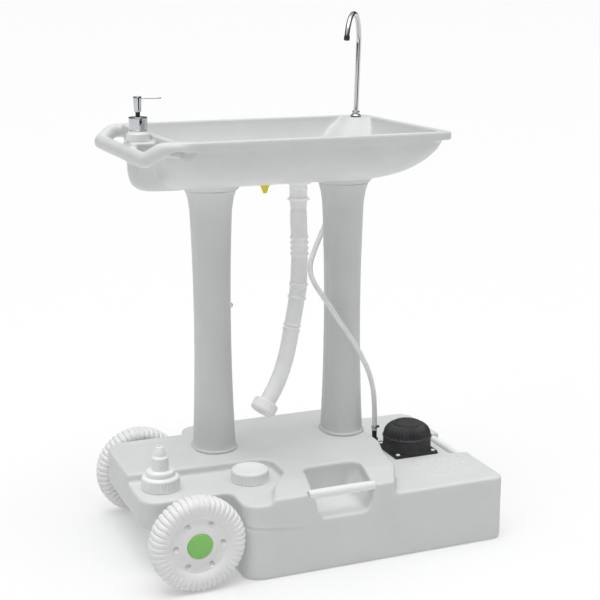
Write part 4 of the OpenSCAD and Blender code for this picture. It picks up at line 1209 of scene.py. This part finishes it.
bar_low, bar_high, bar_mid = box_mm("front_handle_bar")
bar_z = bar_high[2] - 9
bar_y = -207.0
parts = [handle_tube((bar_low[0], bar_y, bar_z), (bar_high[0], bar_y, bar_z), 9.0)]
for lug_x in (-42, 57):
    lug = pillow(rounded([(lug_x - 3, bar_y, 1.2), (lug_x + 3, bar_y, 1.2),
                          (lug_x + 3, bar_y + 8, 1.2), (lug_x - 3, bar_y + 8, 1.2)], 4),
                 bar_low[2], bar_z - 4, 1.0)
    parts.append(lug)
place("front_handle_tube", make_mesh("front_handle_tube", *joined(*parts)), "root",
      "white_plastic", ["front_handle_bar"], sharp=45)
e_low, e_high, e_mid = box_mm("end_handle_bar")
place("end_handle_tube", make_mesh("end_handle_tube", *handle_tube(
    (e_mid[0], e_low[1], e_mid[2]), (e_mid[0], e_high[1], e_mid[2]), 8.0)),
      "root", "white_plastic", ["end_handle_bar"], sharp=45)


# ---- spout ----
lean = math.radians(2.0)
base_frame = Matrix.Translation((195.0, 159.0, ledge_top)) @ Matrix.Rotation(lean, 4, "Y")
leaned = base_frame @ Matrix.Rotation(math.radians(233.0), 4, "Z")
tube_r, bend_r, spout_top = 5.0, 56.0, 1020.0
bend_z = spout_top - ledge_top - bend_r - tube_r
spout_line = [(0, 0, z) for z in np.linspace(2.0, bend_z - 4, 40)]
spout_line += [(bend_r - bend_r * math.cos(a), 0, bend_z + bend_r * math.sin(a))
               for a in np.linspace(0, math.radians(166), 72)]
v, f = tube(np.array(spout_line, float), tube_r, 40)
place_moved("spout_tube", v, f, leaned, "spout", "chrome", ["faucet_spout"], sharp=60)
tip = leaned @ Matrix.Translation((bend_r, 0, bend_z)) @ Matrix.Rotation(
    math.radians(-14), 4, "Y") @ Matrix.Translation((bend_r, 0, -9))
v, f = lathe(rounded([(0, 6.5, 0), (3.4, 6.5, 0), (3.4, 0.2, 0.3), (5.2, 0.2, 0.6), (5.75, 1.4, 0.6),
                      (5.75, 8.2, 0.6), (5.2, 9.0, 0.4), (0, 9.0, 0)], 4), 64)
place_moved("spout_tip_sleeve", v, f, tip,
            "spout", "black_plastic", ["faucet_outlet_ring"], sharp=45)
v, f = lathe(rounded([(5.1, 1.8, 0), (11.2, 1.8, 0.5), (11.2, 2.8, 0.7), (8.9, 4.4, 1.2),
                      (7.9, 6.4, 0.9), (7.9, 10.6, 0.6), (7.2, 12.5, 1.0), (5.1, 12.5, 0)], 5),
             80, closed=True)
place_moved("spout_base_turned", v, f, base_frame, "root", "chrome", ["faucet_base"], sharp=45)


# ---- soap pump ----
c_low, c_high, _ = box_mm("soap_collar")
h_low, h_high, _ = box_mm("soap_head")
s_low, s_high, _ = box_mm("soap_bottle")
collar_line = rounded([(13.3, c_low[2], 0), (16.3, c_low[2], 0.5), (16.5, c_low[2] + 2.0, 0.3),
                       (16.1, c_low[2] + 2.6, 0.3), (16.6, c_high[2] - 4.0, 0.4),
                       (16.9, c_high[2] - 3.4, 0.3), (16.9, c_high[2], 1.3), (6.6, c_high[2], 0.6),
                       (6.2, c_high[2] - 1.2, 0.3), (4.6, c_high[2] - 1.2, 0.2),
                       (4.6, c_high[2] - 9, 0), (13.3, c_high[2] - 10, 0)], 4)
v, f = lathe(collar_line, 96, step=3.0, closed=True)
place_moved("soap_collar_plated", v, f, at(soap_mid), "root", "chrome", ["soap_collar"], sharp=40)
t_low, t_high, _ = box_mm("soap_plunger")
v, f = lathe(rounded([(0, t_low[2], 0), (7.4, t_low[2], 0.5), (7.4, t_low[2] + 5, 0.5),
                      (4.25, t_low[2] + 5, 0.3), (4.25, t_high[2], 0.5), (0, t_high[2], 0)], 3), 48)
place_moved("soap_plunger_rod", v, f, at(soap_mid),
            "soap_plunger", "chrome", ["soap_plunger"], sharp=40)
head_line = rounded([(4.4, h_low[2] + 9.9, 0), (4.4, h_low[2], 0.2), (6.2, h_low[2], 0.7),
                     (6.6, h_low[2] + 3, 0.5), (6.9, h_low[2] + 12, 3.0), (7.5, h_high[2] - 3, 1.0),
                     (7.4, h_high[2], 1.4), (0, h_high[2], 0), (0, h_low[2] + 9.9, 0)], 4)
head_line = head_line[:-2] if head_line[-1][0] < 1e-6 else head_line
head_line = np.vstack([[(0, h_low[2] + 9.9)], head_line, [(0, h_high[2])]])
head_line = head_line[(head_line[:, 0] > 1e-6) | (np.arange(len(head_line)) == 0)
                      | (np.arange(len(head_line)) == len(head_line) - 1)]
head_part = lathe(head_line, 64)
spout_z = h_low[2] + 24
jet = [(x, 0.0, spout_z) for x in np.linspace(2, 38, 24)]
jet += [(38 + 3.6 * math.sin(a), 0.0, spout_z - 3.0 * (1 - math.cos(a)))
        for a in np.linspace(0.2, math.radians(55), 6)]
jet = np.array(jet)
jet_part = tube(jet, 1.75, 24)
jet_turn = Matrix.Rotation(math.radians(-10), 4, "Z")
head_verts, head_faces = joined(head_part, (moved(jet_part[0], jet_turn), jet_part[1]))
place("soap_head_plated", make_mesh("soap_head_plated", moved(head_verts, at(soap_mid)),
                                    head_faces), "soap_head", "chrome", ["soap_head"], sharp=40)
z = tongue_top
bottle_line = rounded([(0, s_low[2], 0), (16.9, s_low[2], 2.5), (16.9, z - 0.3, 0.2),
                       (21.2, z + 0.3, 0.7), (21.4, z + 12.4, 1.6), (18.2, z + 16.9, 1.4),
                       (13.0, z + 17.1, 0.2), (13.0, s_high[2], 0.5), (10.0, s_high[2], 0.4),
                       (10.0, z - 9, 0), (14.8, z - 12, 2.0), (14.8, s_low[2] + 2.2, 1.5),
                       (0, s_low[2] + 2.2, 0)], 4)
v, f = lathe(bottle_line, 96)
place_moved("soap_bottle_moulded", v, f, at(soap_mid),
            "root", "white_plastic", ["soap_bottle"], sharp=40)


# ---- drain fittings and bung ----
d_low, d_high, _ = box_mm("drain_tailpiece")
tail_line = rounded([(13.8, d_low[2], 0.3), (17.0, d_low[2], 0.4), (17.0, 669.6, 0.3),
                     (21.3, 670.2, 0.8), (21.3, 673.0, 0.8), (17.6, 673.6, 0.5),
                     (16.9, 678.0, 1.0), (16.9, 690.0, 0.5), (17.8, 691.0, 0.5), (17.8, 694.0, 0.5),
                     (16.9, 695.0, 0.5), (16.9, d_high[2], 0.3), (13.8, d_high[2], 0.3)], 4)
v, f = lathe(tail_line, 96, closed=True, step=3.0)
place_moved("drain_tailpiece_ringed", v, f, at(drain_mid),
            "root", "drain_plastic", ["drain_tailpiece"], sharp=45)
n_low, n_high, _ = box_mm("drain_nut")
n_r = (n_high[0] - n_low[0]) / 2
v, f = lathe(rounded([(17.2, n_low[2], 0.2), (n_r - 2, n_low[2], 1.0), (n_r, n_low[2] + 1.5, 0.8),
                      (n_r, n_high[2], 0.5), (17.2, n_high[2], 0.2)], 4), 144,
             grip(24, 0.8), closed=True, step=2.5)
place_moved("drain_nut_ribbed", v, f, at(drain_mid),
            "root", "drain_plastic", ["drain_nut"], sharp=45)
g_low, g_high, g_mid = box_mm("drain_bung")


def bung_ripple(radius, height, turn):
    """Four finger wings under the bung."""
    low = (1 - step_between(height, 702, 708)) * step_between(height, g_low[2] + 0.5, g_low[2] + 3)
    return radius * (1 + 0.10 * low * np.cos(4 * turn)) - 0.5 * low, height


v, f = lathe(rounded([(0, g_low[2], 0), (3.6, g_low[2], 1.6), (5.6, g_low[2] + 6, 3.0),
                      (7.6, 700.0, 2.0), (11.8, 705.0, 1.6), (11.9, 711.2, 0.8), (7.0, 711.6, 0.3),
                      (7.0, g_high[2], 0.8), (0, g_high[2], 0)], 4), 96, bung_ripple, step=1.5)
place_moved("drain_bung_winged", v, f, at(g_mid),
            "drain_bung", "yellow_plastic", ["drain_bung"], sharp=50)


# ---- carried-over CAD nodes ----
CARRIED = {
    "filler_seal": "black_rubber", "outlet_seal": "black_rubber", "axle": "steel",
    "axle_spacers": "black_plastic", "axle_push_nuts": "steel", "pump_gasket": "black_rubber",
    "pump_inlet_valve": "black_rubber", "pump_outlet_valve": "black_rubber",
    "pump_outlet_elbow": "black_plastic", "suction_tube": "clear_plastic",
    "suction_strainer": "white_plastic", "hose_clip_lower": "steel", "hose_clip_upper": "steel",
    "faucet_washer": "black_rubber", "faucet_nut": "white_plastic", "faucet_tail": "steel",
    "soap_barrel": "clear_plastic", "soap_dip_tube": "clear_plastic", "drain_strainer": "steel",
    "drain_washer": "black_rubber",
}
for node_name, slot_name in CARRIED.items():
    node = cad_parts[node_name]
    node.data.materials.clear()
    node.data.materials.append(MATERIALS[slot_name])
    node.data.polygons.foreach_set("material_index", [0] * len(node.data.polygons))
    node.data.polygons.foreach_set("use_smooth", [True] * len(node.data.polygons))
    weld = node.modifiers.new("weld", "WELD")
    weld.merge_threshold = 1e-6
    edge = node.modifiers.new("edge", "BEVEL")
    edge.width = 0.25 * MM
    edge.segments = 2
    edge.limit_method = "ANGLE"
    edge.angle_limit = math.radians(38)
    edge.harden_normals = True


# ---- floor and light ----
def stage_material(name, colour, rough):
    material, nodes, links, shader = new_material(name)
    shader.inputs["Base Color"].default_value = (*colour, 1)
    shader.inputs["Roughness"].default_value = rough
    shader.inputs["Specular IOR Level"].default_value = 0.1
    return material


floor_mesh = bpy.data.meshes.new("floor")
FLOOR_HALF = 600.0
floor_mesh.from_pydata([(-FLOOR_HALF, -FLOOR_HALF, 0), (FLOOR_HALF, -FLOOR_HALF, 0),
                        (FLOOR_HALF, FLOOR_HALF, 0), (-FLOOR_HALF, FLOOR_HALF, 0)], [],
                       [(0, 1, 2, 3)])
floor = bpy.data.objects.new("floor", floor_mesh)
bpy.context.scene.collection.objects.link(floor)
floor_mesh.materials.append(stage_material("floor_paint", (0.809, 0.809, 0.809), 0.95))

# dark low sky with a bright top, so fronts stay greyer than tops and chrome gets contrast
world = bpy.data.worlds.new("studio")
bpy.context.scene.world = world
world.use_nodes = True
tree = world.node_tree
tree.nodes.clear()
world_out = tree.nodes.new("ShaderNodeOutputWorld")
background = tree.nodes.new("ShaderNodeBackground")
coords = tree.nodes.new("ShaderNodeTexCoord")
split = tree.nodes.new("ShaderNodeSeparateXYZ")
ramp = tree.nodes.new("ShaderNodeValToRGB")
tree.links.new(coords.outputs["Generated"], split.inputs["Vector"])
tree.links.new(split.outputs["Z"], ramp.inputs["Fac"])
tree.links.new(ramp.outputs["Color"], background.inputs["Color"])
tree.links.new(background.outputs["Background"], world_out.inputs["Surface"])
for index, (height, grey) in enumerate(((0.0, 0.06), (0.40, 0.10), (0.75, 1.0), (1.0, 1.1))):
    stop = ramp.color_ramp.elements[index] if index < 2 else ramp.color_ramp.elements.new(height)
    stop.position = height
    stop.color = (grey, grey, grey * 1.01, 1)
background.inputs["Strength"].default_value = 0.70


def sun_light(name, way, energy, spread_deg, shadow=True):
    """A soft far light shining along way."""
    data = bpy.data.lights.new(name, "SUN")
    data.energy = energy
    data.angle = math.radians(spread_deg)
    data.use_shadow = shadow
    light = bpy.data.objects.new(name, data)
    bpy.context.scene.collection.objects.link(light)
    light.location = (0, 0, 3)
    light.rotation_euler = Vector(way).to_track_quat("-Z", "Y").to_euler()
    return light


sun_light("overhead", (0.06, 0.16, -0.98), 1.10, 55)
sun_light("top_fill", (0.0, 0.05, -1.0), 1.15, 60, shadow=False)
sun_light("left_soft", (1.0, 0.30, -0.8), 0.16, 40)

# a dark studio flag beside the camera, seen only by mirror-like finishes
flag_mesh = bpy.data.meshes.new("dark_flag")
flag_mesh.from_pydata([(-0.15, -3.2, 0.0), (1.75, -2.6, 0.0), (1.75, -2.6, 1.5),
                       (-0.15, -3.2, 1.5)], [], [(0, 1, 2, 3)])
flag = bpy.data.objects.new("dark_flag", flag_mesh)
bpy.context.scene.collection.objects.link(flag)
flag_mesh.materials.append(stage_material("flag_cloth", (0.012, 0.012, 0.012), 0.9))
flag.visible_camera = False
flag.visible_diffuse = False
flag.visible_shadow = False
flag.visible_transmission = False
bpy.context.scene.view_settings.view_transform = "Standard"
bpy.context.scene.view_settings.look = "None"
